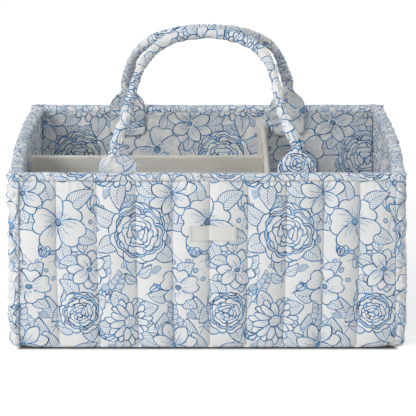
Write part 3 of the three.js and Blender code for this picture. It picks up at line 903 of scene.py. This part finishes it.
def sideHemPath(offset):
    radius = np.maximum(body["cornerRadius"] + offset, 0.5 * mm)
    centreY = body["halfY"] + offset - radius
    arc = np.linspace(0, math.pi / 2, 15)[:, None]
    s, c = np.sin(arc), np.cos(arc)
    edge = layX(centreY, body["rim"]) + offset - radius
    start = np.minimum(mitreX(offset, body["gap"] / 2), edge)
    stub = start + (edge - start) * np.linspace(0, 1, 4)[:-1, None]
    y = np.linspace(-1, 1, int(2 * body["halfY"] / hem["step"]))[1:-1, None] * centreY
    corner = np.concatenate([stack(stub, -(centreY + radius), 0, -1),
                             stack(edge + radius * s, -(centreY + radius * c), s, -c)])
    straight = stack(layX(y, body["rim"]) + offset, y, 1, 0)
    whole = np.concatenate([corner, straight, corner[::-1] * np.array([1, -1, 1, -1])])
    return np.moveaxis(whole, -1, 0)


def hemFolds(along, height, corner, seed, shares, side):
    toSeam = np.abs(along - shares * along[-1]).min(1)[:, None]
    pucker = uneven(hem["pucker"], along, height, seed)
    pucker = pucker * fade(np.abs(height - hem["puckerRise"]), hem["puckerReach"])
    dip = hem["seamDip"] * fade(toSeam, hem["dipReach"]) * fade(height, hem["dipRise"])
    slant = along + 0.5 * height
    roll = uneven(hem["roll"], along, height, seed + 1)
    if side:
        roll = roll + uneven(hem["sideCrease"], slant, height, seed + 3, creaseNoise)
    gather = uneven(hem["gather"], slant, height, seed + 2, creaseNoise) + hem["gather"][0]
    return pucker - dip + roll + corner * gather


# Lays one strip, and returns the points of its shown face
def hemStrip(place, seed):
    run, side = walls[place], place in ("right", "left")
    path = sideHemPath if side else frontHemPath
    offset, height = hemShown.T[:, None]
    x, y, normalX, normalY = path(offset)
    along = runningLength(stack(x, y)[:, hem["lineColumn"]])[:, None]
    fromEnd = np.minimum(along, along[-1] - along)
    corner = fade(fromEnd - hem["cornerRun"][side], hem["gatherRun"][side])
    folds = hemFolds(along, height, corner, seed, run["shares"], side)
    folds = folds * np.clip(np.abs(height) / hem["calmFoot"], 0.2, 1)
    byTape = side * (1 - ease(climb(np.abs(y), hem["tapeHalf"], hem["tapeFade"])))
    inward = hem["innerShare"] * np.minimum(folds, hem["innerMost"])
    folds = np.where(offset > 0, folds, hem["tapeClear"] * byTape - inward * (1 - byTape))
    lift = uneven(hem["droop"], along, 0, seed + 5) - hem["droop"][0]
    z = body["hemFoot"] + height + lift * height / hem["tall"]
    points = stack(x + normalX * folds, y + normalY * folds, z)
    slotX, slotY, _, _ = path(hemSlot[None, :, 0])
    whole = np.concatenate([points, stack(slotX, slotY, body["hemFoot"] + hemSlot[:, 1])], 1)
    v = runningLength(np.concatenate([hemShown, hemSlot, hemShown[:1]]))
    uv = stack(run["start"] + run["length"] * along / along[-1], run["top"] + v)
    piece = makePiece(f"{place}_hem_cloth", [(turnFor(place, whole), uv)], "print", "caddy", "print_cloth",
                      f"{place}_hem")
    return turnFor(place, points)


hemSeeds = {"front": 71, "back": 83, "right": 97, "left": 103}
hemFaces = [hemStrip(place, seed) for place, seed in hemSeeds.items()]
print("hem sewn")

# Linings: crinkled cloth sewn flat against the boards
lining = {
    "face": 3.8 * mm,
    "thick": 1.1 * mm,
    "step": 1.8 * mm,
    "flush": 1.5 * mm,
    "tapeHalf": 8 * mm,
    "fadeRun": 8 * mm,
    "long": (0.45, 7 * mm, 19 * mm),
    "slanted": (0.55, 7 * mm, 12 * mm),
    "fine": (0.25, 3.4 * mm, 3.8 * mm),
    "calmEdge": 5 * mm,
    "floorBroad": (0.6, 26 * mm, 21 * mm),
    "floorFine": (0.4, 7 * mm, 8 * mm),
    "floorCalm": 6 * mm,
    "floor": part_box("bottom_lining")[1].z,
    "foot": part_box("front_lining")[0].z,
}


def liningFolds(along, up, width, height, seed, crinkle, tapeAt):
    edge = np.minimum(np.minimum(along, width - along), np.minimum(up, height - up))
    slanted = uneven(lining["slanted"], along + 0.6 * up, up - 0.5 * along, seed + 1, creaseNoise)
    folds = uneven(lining["long"], along, up, seed) + slanted + uneven(lining["fine"], along, up, seed + 2)
    folds = crinkle * np.clip(edge / lining["calmEdge"], 0, 1) * folds
    byTape = 1 - ease(climb(np.abs(along - tapeAt), lining["tapeHalf"], lining["fadeRun"]))
    return folds * (1 - byTape) + np.minimum(folds, 0) * byTape * 0.3


# A thin closed sheet from a shown face and its back
def clothSlab(name, face, back, uv, look, slot, node):
    points = np.concatenate([face, back[:, ::-1]], 1)
    places = np.concatenate([uv, uv[:, ::-1], uv[:, :1]], 1)
    return makePiece(name, [(points, places)], look, "caddy", slot, node)


# A lining lies flat behind its loop strip, which is at tapeAt from the wall's middle
def wallLining(place, seed, crinkle, tapeAt):
    side = place in ("right", "left")
    z = np.arange(lining["foot"], body["hemFoot"] + 2 * mm, lining["step"])[:, None]
    inset = lining["face"]
    width = 2 * (body["halfY"] if side else body["halfX"])
    share = np.linspace(-1, 1, int(width / lining["step"]))[None, :]
    run = share * ((body["halfY"] if side else layEdge(z)) - inset)
    along, up = (share + 1) * width / 2, z - z[0]
    folds = liningFolds(along, up, width, up[-1], seed, crinkle, width / 2 + tapeAt)
    flush = lining["flush"] * ease(climb(z, body["hemFoot"] - lining["fadeRun"], lining["fadeRun"]))
    faces = []
    for depth in (inset + folds + flush, inset - lining["thick"]):
        face = stack(layX(run, z) - depth, run, z) if side else stack(run, -body["halfY"] + depth, z)
        faces.append(turnFor(place, face))
    uv = stack(0.29 * seed % 1 + along, z)
    piece = clothSlab(f"{place}_lining_cloth", *faces, uv, "lining", "lining_cloth", f"{place}_lining")


wallLining("front", 5, 1.0 * mm, 60 * mm)
wallLining("back", 7, 1.1 * mm, -60 * mm)
wallLining("right", 9, 1.9 * mm, math.inf)
wallLining("left", 13, 1.9 * mm, 0.0)


# A flat cloth over the whole plan, for the floor and the underside. Pairs are for its top and its underside.
def floorCloth(name, node, inset, levels, ripples, look, slot, seed):
    share = np.linspace(-1, 1, 180)[None, :]
    y = np.linspace(-1, 1, 120)[:, None] * (body["halfY"] - inset)
    x = share * (layX(y, levels[0]) - inset)
    edge = np.minimum(body["halfY"] - inset - np.abs(y), (1 - np.abs(share)) * body["halfX"])
    lie = uneven(lining["floorBroad"], x, y, seed) + uneven(lining["floorFine"], x, y, seed + 1)
    lie = np.clip(edge / lining["floorCalm"], 0, 1) * lie
    faces = [stack(x, y, level + ripple * lie) for level, ripple in zip(levels, ripples)]
    return clothSlab(name, *faces, stack(x + 0.5, y + 0.3), look, slot, node)


floorLevels = (lining["floor"] - 0.5 * mm, lining["floor"] - 1.8 * mm)
floorLining = floorCloth("floor_lining", "bottom_lining", 4.3 * mm, floorLevels, (0.45 * mm, 0), "lining",
                         "lining_cloth", 17)
floorSize = (2 * body["halfX"], 2 * body["halfY"])
underCloth = floorCloth("bottom_cloth", "bottom_panel", 0.2 * mm, (2.4 * mm, 0), (0, 0.2 * mm), "print",
                        "print_cloth", 19)
underSize = (2 * body["halfX"] + 8 * mm, 2 * body["halfY"])
print("linings laid")

# Handles: a flat tab gathered to a round sleeve over a rope, in one cloth from tab to tab
handle = {
    "sleeve": 5.8 * mm,
    "rope": 3.3 * mm,
    "waist": 0.26,
    "waistAt": 0.6,
    "waistReach": 0.25,
    "bendRise": 11 * mm,
    "bendRun": 13 * mm,
    "armLength": 30 * mm,
    "archReach": 79 * mm,
    "lean": 0.3,
    "tabHalf": 18.5 * mm,
    "tabThick": 3 * mm,
    "tabRound": 8 * mm,
    "tabFoot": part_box("front_left_tab")[0].z,
    "neckFoot": body["rim"],
    "neckTop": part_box("front_handle_sleeve")[0].z,
    "neckX": (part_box("front_right_tab")[0].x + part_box("front_right_tab")[1].x) / 2,
    "neckY": body["halfY"] - 7.4 * mm,
    "neckRun": 7 * mm,
    "topY": -5.95 * mm,
    "topZ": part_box("front_handle_sleeve")[1].z - 5.8 * mm,
    "legLean": {"front": (-7 * mm, 1.5 * mm), "back": (2.7 * mm, -0.5 * mm)},
    "sag": 2 * mm,
    "lapse": 1.5 * mm,
    "lapseFoot": 0.164,
    "lapseRise": 9 * mm,
    "sway": (2.2, 21 * mm, 1),
    "pleat": 0.95 * mm,
    "pleatShare": (0.5, 8 * mm, 1),
    "pleatReach": 12 * mm,
    "pleatRise": 4 * mm,
    "foldGirth": 9 * mm,
    "crease": (0.9 * mm, 6.2 * mm, 5.2 * mm),
    "lie": (0.4 * mm, 15 * mm, 12 * mm),
    "clothStart": 132 * mm,
    "columns": 64,
    "step": 1.1 * mm,
    "strandShare": 0.48,
    "strandLay": 26 * mm,
    "ropeTrim": 3,
    "fill": 0.9,
}


def bezier(corners, count):
    t = np.linspace(0, 1, count)[:, None]
    lines = [np.array(corner, float)[None, :] + 0 * t for corner in corners]
    while len(lines) > 1:
        lines = [a * (1 - t) + b * t for a, b in zip(lines, lines[1:])]
    return lines[0]


def climbShare(z):
    return climb(z, handle["neckTop"], handle["topZ"] - handle["neckTop"])


# The middle line of a handle, from its right neck over the arch to its left one.
# Its legs lean sideways a little, as a soft handle lies.
def handleLine(place):
    neck = np.array([handle["neckX"], -handle["neckY"], handle["neckTop"]])
    bend = neck + np.array([0, 0, handle["bendRise"]])
    top = np.array([0, handle["topY"], handle["topZ"]])
    lean = (top - bend) * np.array([0, 1, 1])
    lean /= np.linalg.norm(lean)
    lean[0] = -handle["lean"]
    lean /= np.linalg.norm(lean)
    legFoot = bend + handle["bendRun"] * lean
    reach = np.array([handle["archReach"], top[1], top[2]])
    arch = bezier([legFoot, legFoot + handle["armLength"] * lean, reach, top], 90)
    half = np.concatenate([bezier([neck, bend, legFoot], 16)[:-1], arch])
    rise = climbShare(half[:, 2])
    wave = np.sin(math.pi * rise ** 0.8) ** 2
    half[:, 2] -= handle["sag"] * rise ** 2
    right, left = (half * np.array([side, 1, 1]) for side in (1, -1))
    for leg, legLean in zip((right, left), handle["legLean"][place]):
        leg[:, 0] += legLean * wave
    return np.concatenate([right, left[-2::-1]])


def evenly(points, step):
    length = runningLength(points)
    at = np.linspace(0, length[-1], int(length[-1] / step) + 1)
    return np.stack([np.interp(at, length, points[:, k]) for k in range(3)], -1)


# Two directions across a line, the first as near as may be to the depth
def acrossLine(points):
    along = np.gradient(points, axis=0)
    along /= np.linalg.norm(along, axis=1)[:, None]
    side = np.array([0.0, 1.0, 0.0]) - along * along[:, 1:2]
    side /= np.linalg.norm(side, axis=1)[:, None]
    return side, np.cross(along, side)


# Half width, half thickness and rise from the tab's flat foot to its round neck
def tabShape(z):
    rise = ease(climb(z, handle["neckFoot"], handle["neckTop"] - handle["neckFoot"]))
    width = handle["tabHalf"] + (handle["sleeve"] - handle["tabHalf"]) * rise ** 1.6
    thick = handle["tabThick"] / 2 + (handle["sleeve"] - handle["tabThick"] / 2) * rise ** 1.4
    corner = 1 - climb(z, handle["tabFoot"], handle["tabRound"])
    return width - handle["tabRound"] * (1 - np.sqrt(1 - corner ** 2)), thick, rise


def handleFolds(turn, length, gather, rise, seed):
    sway = uneven(handle["sway"], length, 0, seed)
    pleats = np.sin(11 * turn + sway) * 0.55 + np.sin(17 * turn - 1.7 * sway + 2) * 0.5
    share = 0.7 + uneven(handle["pleatShare"], length, turn * mm, seed + 1)
    ringX, ringY = handle["foldGirth"] * np.cos(turn), handle["foldGirth"] * np.sin(turn)
    creases = uneven(handle["crease"], ringX + 1.2 * length, ringY + 0.6 * length, seed + 2, creaseNoise)
    lie = uneven(handle["lie"], ringX + 0.3 * length, ringY - length, seed + 3)
    return gather * handle["pleat"] * pleats * share + (creases + lie) * np.clip(rise, 0.4, 1)


# The whole cloth of a handle in rings: right tab, sleeve, left tab
def handleCloth(place, seed):
    foot = np.arange(handle["tabFoot"], handle["neckTop"] - 0.4 * mm, handle["step"])
    lapse = handle["lapse"] * (1 - ease(climb(foot, handle["lapseFoot"], handle["lapseRise"])))
    tab = stack(handle["neckX"], -handle["neckY"] - lapse, foot)
    line = evenly(handleLine(place), handle["step"])
    line = np.concatenate([tab, line, tab[::-1] * np.array([-1, 1, 1])])
    side, across = acrossLine(line)
    onTab = np.abs(line[:, 0]) > handle["neckX"] - mm
    width, thick, rise = tabShape(np.where(onTab, line[:, 2], 1.0))
    slim = hill(climbShare(line[:, 2]) - handle["waistAt"], handle["waistReach"])
    slim = 1 - handle["waist"] * slim * (rise > 0.999)
    length = runningLength(line)
    neck = np.minimum(np.abs(length - length[len(foot)]), np.abs(length - length[-len(foot) - 1]))
    rings = (width * slim, thick * slim, rise, length, neck)
    width, thick, rise, length, neck = (part[:, None] for part in rings)
    turn = math.pi / 2 + np.linspace(0, 2 * math.pi, handle["columns"], endpoint=False)[None, :]
    flat = np.maximum(width - thick, 0)
    a = flat * np.clip(1.3 * np.cos(turn), -1, 1) + thick * np.cos(turn)
    b = thick * np.sin(turn)
    folds = handleFolds(turn, length, hill(neck - handle["pleatRise"], handle["pleatReach"]), rise, seed)
    swell = 1 + folds / np.maximum(np.hypot(a, b), 4 * mm)
    b = b + folds * np.sin(turn) * (flat > mm)
    out, up = (a * swell)[..., None] * across[:, None], (b * swell)[..., None] * side[:, None]
    points = line[:, None] + out + up
    steps = np.linalg.norm(np.diff(points, axis=1, append=points[:, :1]), axis=2)
    around = np.concatenate([0 * length, np.cumsum(steps, axis=1)], 1)
    uv = stack(handle["clothStart"] + (around - around[:, -1:] / 2), length)
    nodes = [f"{place}_{part}" for part in ("left_tab", "right_tab", "handle_sleeve")]
    grids = [(turnFor(place, points), uv)]
    piece = makePiece(f"{place}_handle_cloth", grids, "print", None, "print_cloth", *nodes)
    y = handle["neckY"] if place == "back" else -handle["neckY"]
    low, high = handle["neckTop"] - handle["neckRun"], handle["neckTop"] + handle["neckRun"]
    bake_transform(piece)


# Three strands laid round each other
def handleRope(place):
    trim = handle["ropeTrim"]
    line = evenly(handleLine(place), handle["step"])[trim:-trim]
    side, across = acrossLine(line)
    length = runningLength(line)
    strand = handle["strandShare"] * handle["rope"]
    turn = np.linspace(0, 2 * math.pi, 12, endpoint=False)[None, :, None]
    grids = []
    for k in range(3):
        wind = 2 * math.pi * (k / 3 + length / handle["strandLay"])[:, None]
        middle = line + (handle["rope"] - strand) * (np.cos(wind) * across + np.sin(wind) * side)
        first, second = acrossLine(middle)
        points = middle[:, None] + strand * (np.cos(turn) * first[:, None] + np.sin(turn) * second[:, None])
        grids.append((turnFor(place, points), stack(np.linspace(0, 12 * mm, 13), length[:, None])))
    makePiece(f"{place}_rope", grids, "rope", f"{place}_handle", "rope", f"{place}_handle_core")


handleCloth("front", 3)
handleCloth("back", 8)
handleRope("front")
handleRope("back")
print("handles gathered")

# Divider: boards in plain cloth, with a flange at each end that the hook tape is sewn to
divider = {
    "wall": 2.5 * mm,
    "flange": 6 * mm,
    "flangeCloth": 1.2 * mm,
    "fillet": 2 * mm,
    "endSteps": np.array([0, 0.4, 0.8, 1.2, 1.3, 1.5, 1.9, 2.5, 3.2]) * mm,
    "step": 2.2 * mm,
    "round": 2.4 * mm,
    "crinkle": (0.35 * mm, 17 * mm, 12 * mm),
    "calmEdge": 6 * mm,
    "fill": 0.2,
}


# Half width along a divider: the flange at an end, a small fillet, then the wall
def dividerHalf(fromEnd):
    into = climb(fromEnd, divider["flangeCloth"], divider["fillet"])
    return divider["flange"] + (divider["wall"] - divider["flange"]) * np.sqrt(1 - (1 - into) ** 2)


# Covers one divider, and returns the points of its two faces
def dividerCover(kind, flangeEnds, seed):
    low, high = (np.array(corner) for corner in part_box(f"{kind}_divider_cover"))
    axis = 1 if kind == "cross" else 0
    start, end, middle = low[axis], high[axis], (low[1 - axis] + high[1 - axis]) / 2
    between = np.arange(start + 5 * mm, end - 4 * mm, divider["step"])
    run = np.concatenate([start + divider["endSteps"], between, end - divider["endSteps"][::-1]])
    half = 0 * run + divider["wall"]
    for side in flangeEnds:
        half = np.maximum(half, dividerHalf(run - start if side < 0 else end - run))
    roundFoot = high[2] - divider["round"]
    z = np.concatenate([np.arange(low[2], roundFoot, divider["step"]),
                        high[2] - divider["round"] * (1 - np.sin(np.linspace(0, math.pi / 2, 7)))])[:, None]
    top = climb(z, roundFoot, divider["round"])
    narrow = np.sqrt(np.maximum(1 - top ** 2, 0.002))
    calm = np.clip(np.minimum(run - start, end - run) / divider["calmEdge"], 0, 1) * (1 - top)
    near, far = (sign * (half * narrow + calm * uneven(divider["crinkle"], run, z, seed + sign))
                 for sign in (1, -1))
    across = np.concatenate([near, far[:, ::-1]], 1) + middle
    along = np.append(run, run[::-1])
    points = stack(across, along, z) if axis else stack(along, across, z)
    length = end - start
    u = np.concatenate([run - start, 2 * length - (run[::-1] - start) + 0.02, [2 * length + 0.05]])
    piece = makePiece(f"{kind}_divider_cloth", [(points, stack(u, z))], "plain", "divider_insert",
                      "plain_cloth", f"{kind}_divider_cover")
    return points[:, : len(run)], points[:, len(run):]


dividerFaces = [*dividerCover("cross", (-1, 1), 61), *dividerCover("long", (-1,), 67)]
print("divider covered")

# Hook and loop tapes: a woven band with a nap of loops or hooks on its outer face
tape = {
    "edge": 0.35 * mm,
    "step": 0.9 * mm,
    "nap": (0.16 * mm, 0.9 * mm, 1.1 * mm),
    "thick": 1.2 * mm,
    "columns": 36,
}


def tapeBand(name, node, carrier, seed):
    low, high = (np.array(corner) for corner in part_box(node))
    size = high - low
    thin = 0 if size[0] < size[1] else 1
    wide = 1 - thin
    curved = size[thin] > 2 * mm
    if curved:
        high[thin] = low[thin] + tape["thick"]
    half, middle = (high - low) / 2, (high + low) / 2
    z = np.arange(low[2], high[2], tape["step"])[:, None]
    turn = np.linspace(0, 2 * math.pi, tape["columns"], endpoint=False)[None, :]
    inset = tape["edge"] * np.clip(1 - np.minimum(z - low[2], high[2] - z) / tape["edge"], 0, 1)
    across = (half[wide] - inset) * np.clip(1.25 * np.cos(turn), -1, 1)
    depth = (half[thin] - inset) * np.clip(2.5 * np.sin(turn), -1, 1)
    depth = depth + uneven(tape["nap"], across, z, seed) * np.sign(depth)
    parts = {wide: across + middle[wide], thin: depth + middle[thin]}
    points = stack(parts[0], parts[1], z)
    if curved:
        points[..., 0] += layX(0, low[2]) - layX(points[..., 1], points[..., 2])
    uv = stack(np.linspace(0, 4.8 * half[wide], tape["columns"] + 1), z)
    makePiece(name, [(points, uv)], "tape", carrier, "tape", node)


for place, seed in (("front", 71), ("back", 71), ("side", 73)):
    tapeBand(f"{place}_hooks", f"{place}_hook_strip", "divider_insert", seed)
    tapeBand(f"{place}_loops", f"{place}_loop_strip", "caddy", seed + 1)
print("tapes sewn")

# The bare label, sewn over a channel seam
label = {
    "thick": 0.45 * mm,
    "back": 0.3 * mm,
    "clear": 0.25 * mm,
    "bridge": 0.45,
    "fold": 3.0 * mm,
    "foldThick": 0.45 * mm,
    "foldRun": 0.5 * mm,
    "crinkle": (0.08 * mm, 7 * mm, 5 * mm),
    "sewnColumn": 3,
    "skinRow": 60,
}


# How far the front quilt stands out at places on it
def quiltFace(x, z):
    skin = walls["front"]["skin"]
    columns, rows = skin[label["skinRow"], :, 0], skin[:, 0, 2]
    i = np.clip(np.searchsorted(columns, x) - 1, 0, len(columns) - 2)
    j = np.clip(np.searchsorted(rows, z) - 1, 0, len(rows) - 2)
    s = (x - columns[i]) / (columns[i + 1] - columns[i])
    low, high = (skin[k, i, 1] * (1 - s) + skin[k, i + 1, 1] * s for k in (j, j + 1))
    t = (z - rows[j]) / (rows[j + 1] - rows[j])
    return -(low * (1 - t) + high * t) - body["halfY"]


def sewLabel():
    low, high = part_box("blank_label")
    x, z = np.meshgrid(np.linspace(low.x, high.x, 60), np.linspace(low.z, high.z, 24))
    rise = quiltFace(x, z)
    lift = rise + label["bridge"] * np.maximum(quilt["frontCrown"] - rise, 0) + label["clear"]
    fromEnd = np.minimum(x - low.x, high.x - x)
    folded = label["foldThick"] * (1 - ease(climb(fromEnd, label["fold"], label["foldRun"])))
    lift = lift + folded + uneven(label["crinkle"], x, z, 91)
    face, back = (stack(x, -body["halfY"] - lift - out, z) for out in (label["thick"], -label["back"]))
    clothSlab("label", face, back, stack(x - low.x, z - low.z), "label", "tape", "blank_label")
    return face


labelFace = sewLabel()
print("label sewn")

# Boards stay as the frame has them
for name in ("front_stiffener", "back_stiffener", "left_stiffener", "right_stiffener", "base_board",
             "cross_divider_board", "long_divider_board"):
    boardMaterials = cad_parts[name].data.materials
    boardMaterials.clear()
    boardMaterials.append(finish["board"])

# Stitching: short threads set along paths by one Geometry Nodes tree
stitch = {
    "step": 2.7 * mm,
    "length": 1.9 * mm,
    "thread": 0.28 * mm,
    "proud": 0.12 * mm,
    "seamRows": slice(14, -3),
    "hemRows": slice(2, -2),
    "hemRow": 20,
    "outer": (slice(0, 20), 1.4 * mm),
    "inner": (slice(24, None), 1.6 * mm),
    "labelProud": 0.1 * mm,
    "dividerRow": -12,
    "dividerColumns": slice(4, -4),
}


def stitchTree():
    tree = bpy.data.node_groups.new("stitches", "GeometryNodeTree")
    for name, way, kind in (("Geometry", "INPUT", "Geometry"), ("Step", "INPUT", "Float"),
                            ("Stitch length", "INPUT", "Float"), ("Thread radius", "INPUT", "Float"),
                            ("Material", "INPUT", "Material"), ("Geometry", "OUTPUT", "Geometry")):
        tree.interface.new_socket(name, in_out=way, socket_type="NodeSocket" + kind)
    kinds = {"entry": "NodeGroupInput", "leave": "NodeGroupOutput", "curve": "GeometryNodeMeshToCurve",
             "resample": "GeometryNodeResampleCurve", "tangent": "GeometryNodeInputTangent",
             "turn": "FunctionNodeAlignRotationToVector", "bead": "GeometryNodeMeshUVSphere",
             "half": "ShaderNodeMath", "size": "ShaderNodeCombineXYZ", "shape": "GeometryNodeTransform",
             "lay": "GeometryNodeInstanceOnPoints", "real": "GeometryNodeRealizeInstances",
             "smooth": "GeometryNodeSetShadeSmooth", "paint": "GeometryNodeSetMaterial"}
    nodes = {name: tree.nodes.new(kind) for name, kind in kinds.items()}
    nodes["resample"].mode = "LENGTH"
    nodes["turn"].axis = "X"
    nodes["half"].operation = "MULTIPLY"
    for key, value in (("Segments", 6), ("Rings", 5), ("Radius", 1)):
        nodes["bead"].inputs[key].default_value = value
    nodes["half"].inputs[1].default_value = 0.5
    for source, output, target, key in (
            ("entry", "Geometry", "curve", 0), ("curve", 0, "resample", "Curve"),
            ("entry", "Step", "resample", "Length"), ("tangent", 0, "turn", "Vector"),
            ("entry", "Stitch length", "half", 0), ("half", 0, "size", 0),
            ("entry", "Thread radius", "size", 1), ("entry", "Thread radius", "size", 2),
            ("bead", "Mesh", "shape", "Geometry"),
            ("size", 0, "shape", "Scale"), ("resample", 0, "lay", "Points"), ("shape", 0, "lay", "Instance"),
            ("turn", 0, "lay", "Rotation"), ("lay", 0, "real", 0), ("real", 0, "smooth", 0),
            ("smooth", 0, "paint", 0), ("entry", "Material", "paint", "Material"), ("paint", 0, "leave", 0)):
        tree.links.new(nodes[source].outputs[output], nodes[target].inputs[key])
    return tree


stitching = stitchTree()


# Stitches along open paths of points, as one plain mesh
def sew(name, paths, carrier, slot="print_cloth", scale=1.0):
    vertices, edges = [], []
    for path in paths:
        edges += [(len(vertices) + i, len(vertices) + i + 1) for i in range(len(path) - 1)]
        vertices += [tuple(point) for point in path]
    mesh = bpy.data.meshes.new(name + "_path")
    mesh.from_pydata(vertices, edges, [])
    guide = addObject(name + "_path", mesh)
    modifier = guide.modifiers.new("stitches", "NODES")
    modifier.node_group = stitching
    values = {"Step": stitch["step"] * scale, "Stitch length": stitch["length"] * scale,
              "Thread radius": stitch["thread"], "Material": finish["thread"]}
    for item in stitching.interface.items_tree:
        if item.in_out == "INPUT" and item.name in values:
            modifier[item.identifier] = values[item.name]
    made = bpy.data.meshes.new_from_object(guide.evaluated_get(bpy.context.evaluated_depsgraph_get()))
    bpy.data.objects.remove(guide)
    made.name = name
    dress(addObject(name, made), "thread", carrier, slot)


def seamPaths(place):
    columns = walls[place]["seams"][1:-1]
    return [turnFor(place, walls[place]["skin"][stitch["seamRows"], column]) for column in columns]


# The front and back seam threads lie along the middle of their wall, inside the cloth, and don't show
def sewAll():
    inCloth = np.array([0, 1 + stitch["proud"] / body["halfY"], 1])
    for place in ("front", "back"):
        sew(f"{place}_seam_stitches", [path * inCloth for path in seamPaths(place)], "caddy")
    sew("side_seam_stitches", seamPaths("right") + seamPaths("left"), "caddy")
    lines = []
    for columns, rise in (stitch["outer"], stitch["inner"]):
        for face in hemFaces:
            heights = face[stitch["hemRow"], columns, 2] - body["hemFoot"]
            lines.append(face[stitch["hemRows"], columns][:, np.abs(heights - rise).argmin()])
    sew("hem_stitches", lines, "caddy")
    sewn = label["sewnColumn"]
    ends = [labelFace[1:-1, column] - [0, stitch["labelProud"], 0] for column in (sewn, -1 - sewn)]
    sew("label_stitches", ends, "caddy", "tape", 0.7)
    tops = [face[stitch["dividerRow"], stitch["dividerColumns"]] for face in dividerFaces]
    sew("divider_stitches", tops, "divider_insert", "plain_cloth", 1.1)


sewAll()
print("stitching done")

# Camera at the photograph's angle, for a square picture
lens = {"place": (0.0006, -1.7985, 0.7061), "pitch": 18.53, "focal": 159.0, "sensor": 36, "reach": (0.05, 50)}
cameraData = bpy.data.cameras.new("view")
cameraData.lens = lens["focal"]
cameraData.sensor_width = lens["sensor"]
cameraData.clip_start, cameraData.clip_end = lens["reach"]
camera = addObject("view", cameraData)
camera.location = lens["place"]
camera.rotation_euler = (math.radians(90 - lens["pitch"]), 0, 0)
scene.camera = camera

# Soft studio light from above and the left, and a white floor that keeps the shadow, with a dark contact
# shadow painted into its colour round the caddy's foot
light = {
    "key": {"energy": 42, "size": 0.9, "place": (-2.1, -1.7, 1.5)},
    "fill": {"energy": 5, "size": 2.2, "place": (1.2, -2.2, 1.3)},
    "top": {"energy": 8, "size": 2.0, "place": (0.1, 0.7, 2.4)},
    "ambient": 0.48,
    "floorReach": 12,
    "floorDrop": 0.3 * mm,
    "floorLift": 0.42,
    # The floor's two colours are a painted contact shadow and the floor itself; contact, contactRun and
    # contactSetIn place that painted shadow round the foot
    "paintedFootShadowAndFloor": ((0.13, 0.12, 0.11, 1), (0.86, 0.86, 0.86, 1)),
    "contact": 5.6 * mm,
    "contactRun": 5 * mm,
    "contactSetIn": 9 * mm,
}


def addLamp(name):
    data = bpy.data.lights.new(name, "AREA")
    data.energy = light[name]["energy"]
    data.size = light[name]["size"]
    lamp = addObject(name, data)
    lamp.location = light[name]["place"]
    lamp.rotation_euler = (-lamp.location).to_track_quat("-Z", "Y").to_euler()


# 1 for rays that see the stage itself: from the camera, in gloss or through glass
def seenDirectly(tree):
    seen = addNode(tree, "LightPath", output="Is Camera Ray")
    return seen.most(seen.twin("Is Glossy Ray")).most(seen.twin("Is Transmission Ray"))


# Mask of the painted contact shadow on the floor: 0 under the caddy's foot, 1 a little way off
def outsidePaintedFootShadow(tree):
    x, y, _ = vectorParts(tree, objectPlace(tree))
    halfX = layEdge(0) - light["contactSetIn"]
    beyond = (x.op("ABSOLUTE") - halfX).most(y.op("ABSOLUTE") - body["halfY"])
    return beyond.scaled(1 / light["contactRun"], -light["contact"] / light["contactRun"], True)


def addStage():
    world = bpy.data.worlds.new("studio")
    world.use_nodes = True
    scene.world = world
    tree = world.node_tree
    background = next(n for n in tree.nodes if n.type == "BACKGROUND")
    background.inputs["Color"].default_value = (1, 1, 1, 1)
    strength = seenDirectly(tree).scaled(1 - light["ambient"], light["ambient"])
    plug(tree, background.inputs["Strength"], strength)
    for name in ("key", "fill", "top"):
        addLamp(name)
    reach = light["floorReach"]
    mesh = bpy.data.meshes.new("floor")
    corners = [(x * reach, y * reach, 0) for x, y in ((-1, -1), (1, -1), (1, 1), (-1, 1))]
    mesh.from_pydata(corners, [], [(0, 1, 2, 3)])
    floor = addObject("floor", mesh)
    floor.location.z = -light["floorDrop"]
    material, tree, shader = newMaterial("paleFloor", 0.9)
    beyond = outsidePaintedFootShadow(tree)
    # The floor's colour goes dark round the caddy's foot as a painted contact shadow, and its camera-ray glow
    # fades there too
    plug(tree, shader.inputs["Base Color"], mixColour(tree, beyond, *light["paintedFootShadowAndFloor"]))
    shader.inputs["Emission Color"].default_value = (1, 1, 1, 1)
    plug(tree, shader.inputs["Emission Strength"], seenDirectly(tree) * beyond * light["floorLift"])
    mesh.materials.append(material)


addStage()
scene.view_settings.view_transform = "Standard"

print("stage set")
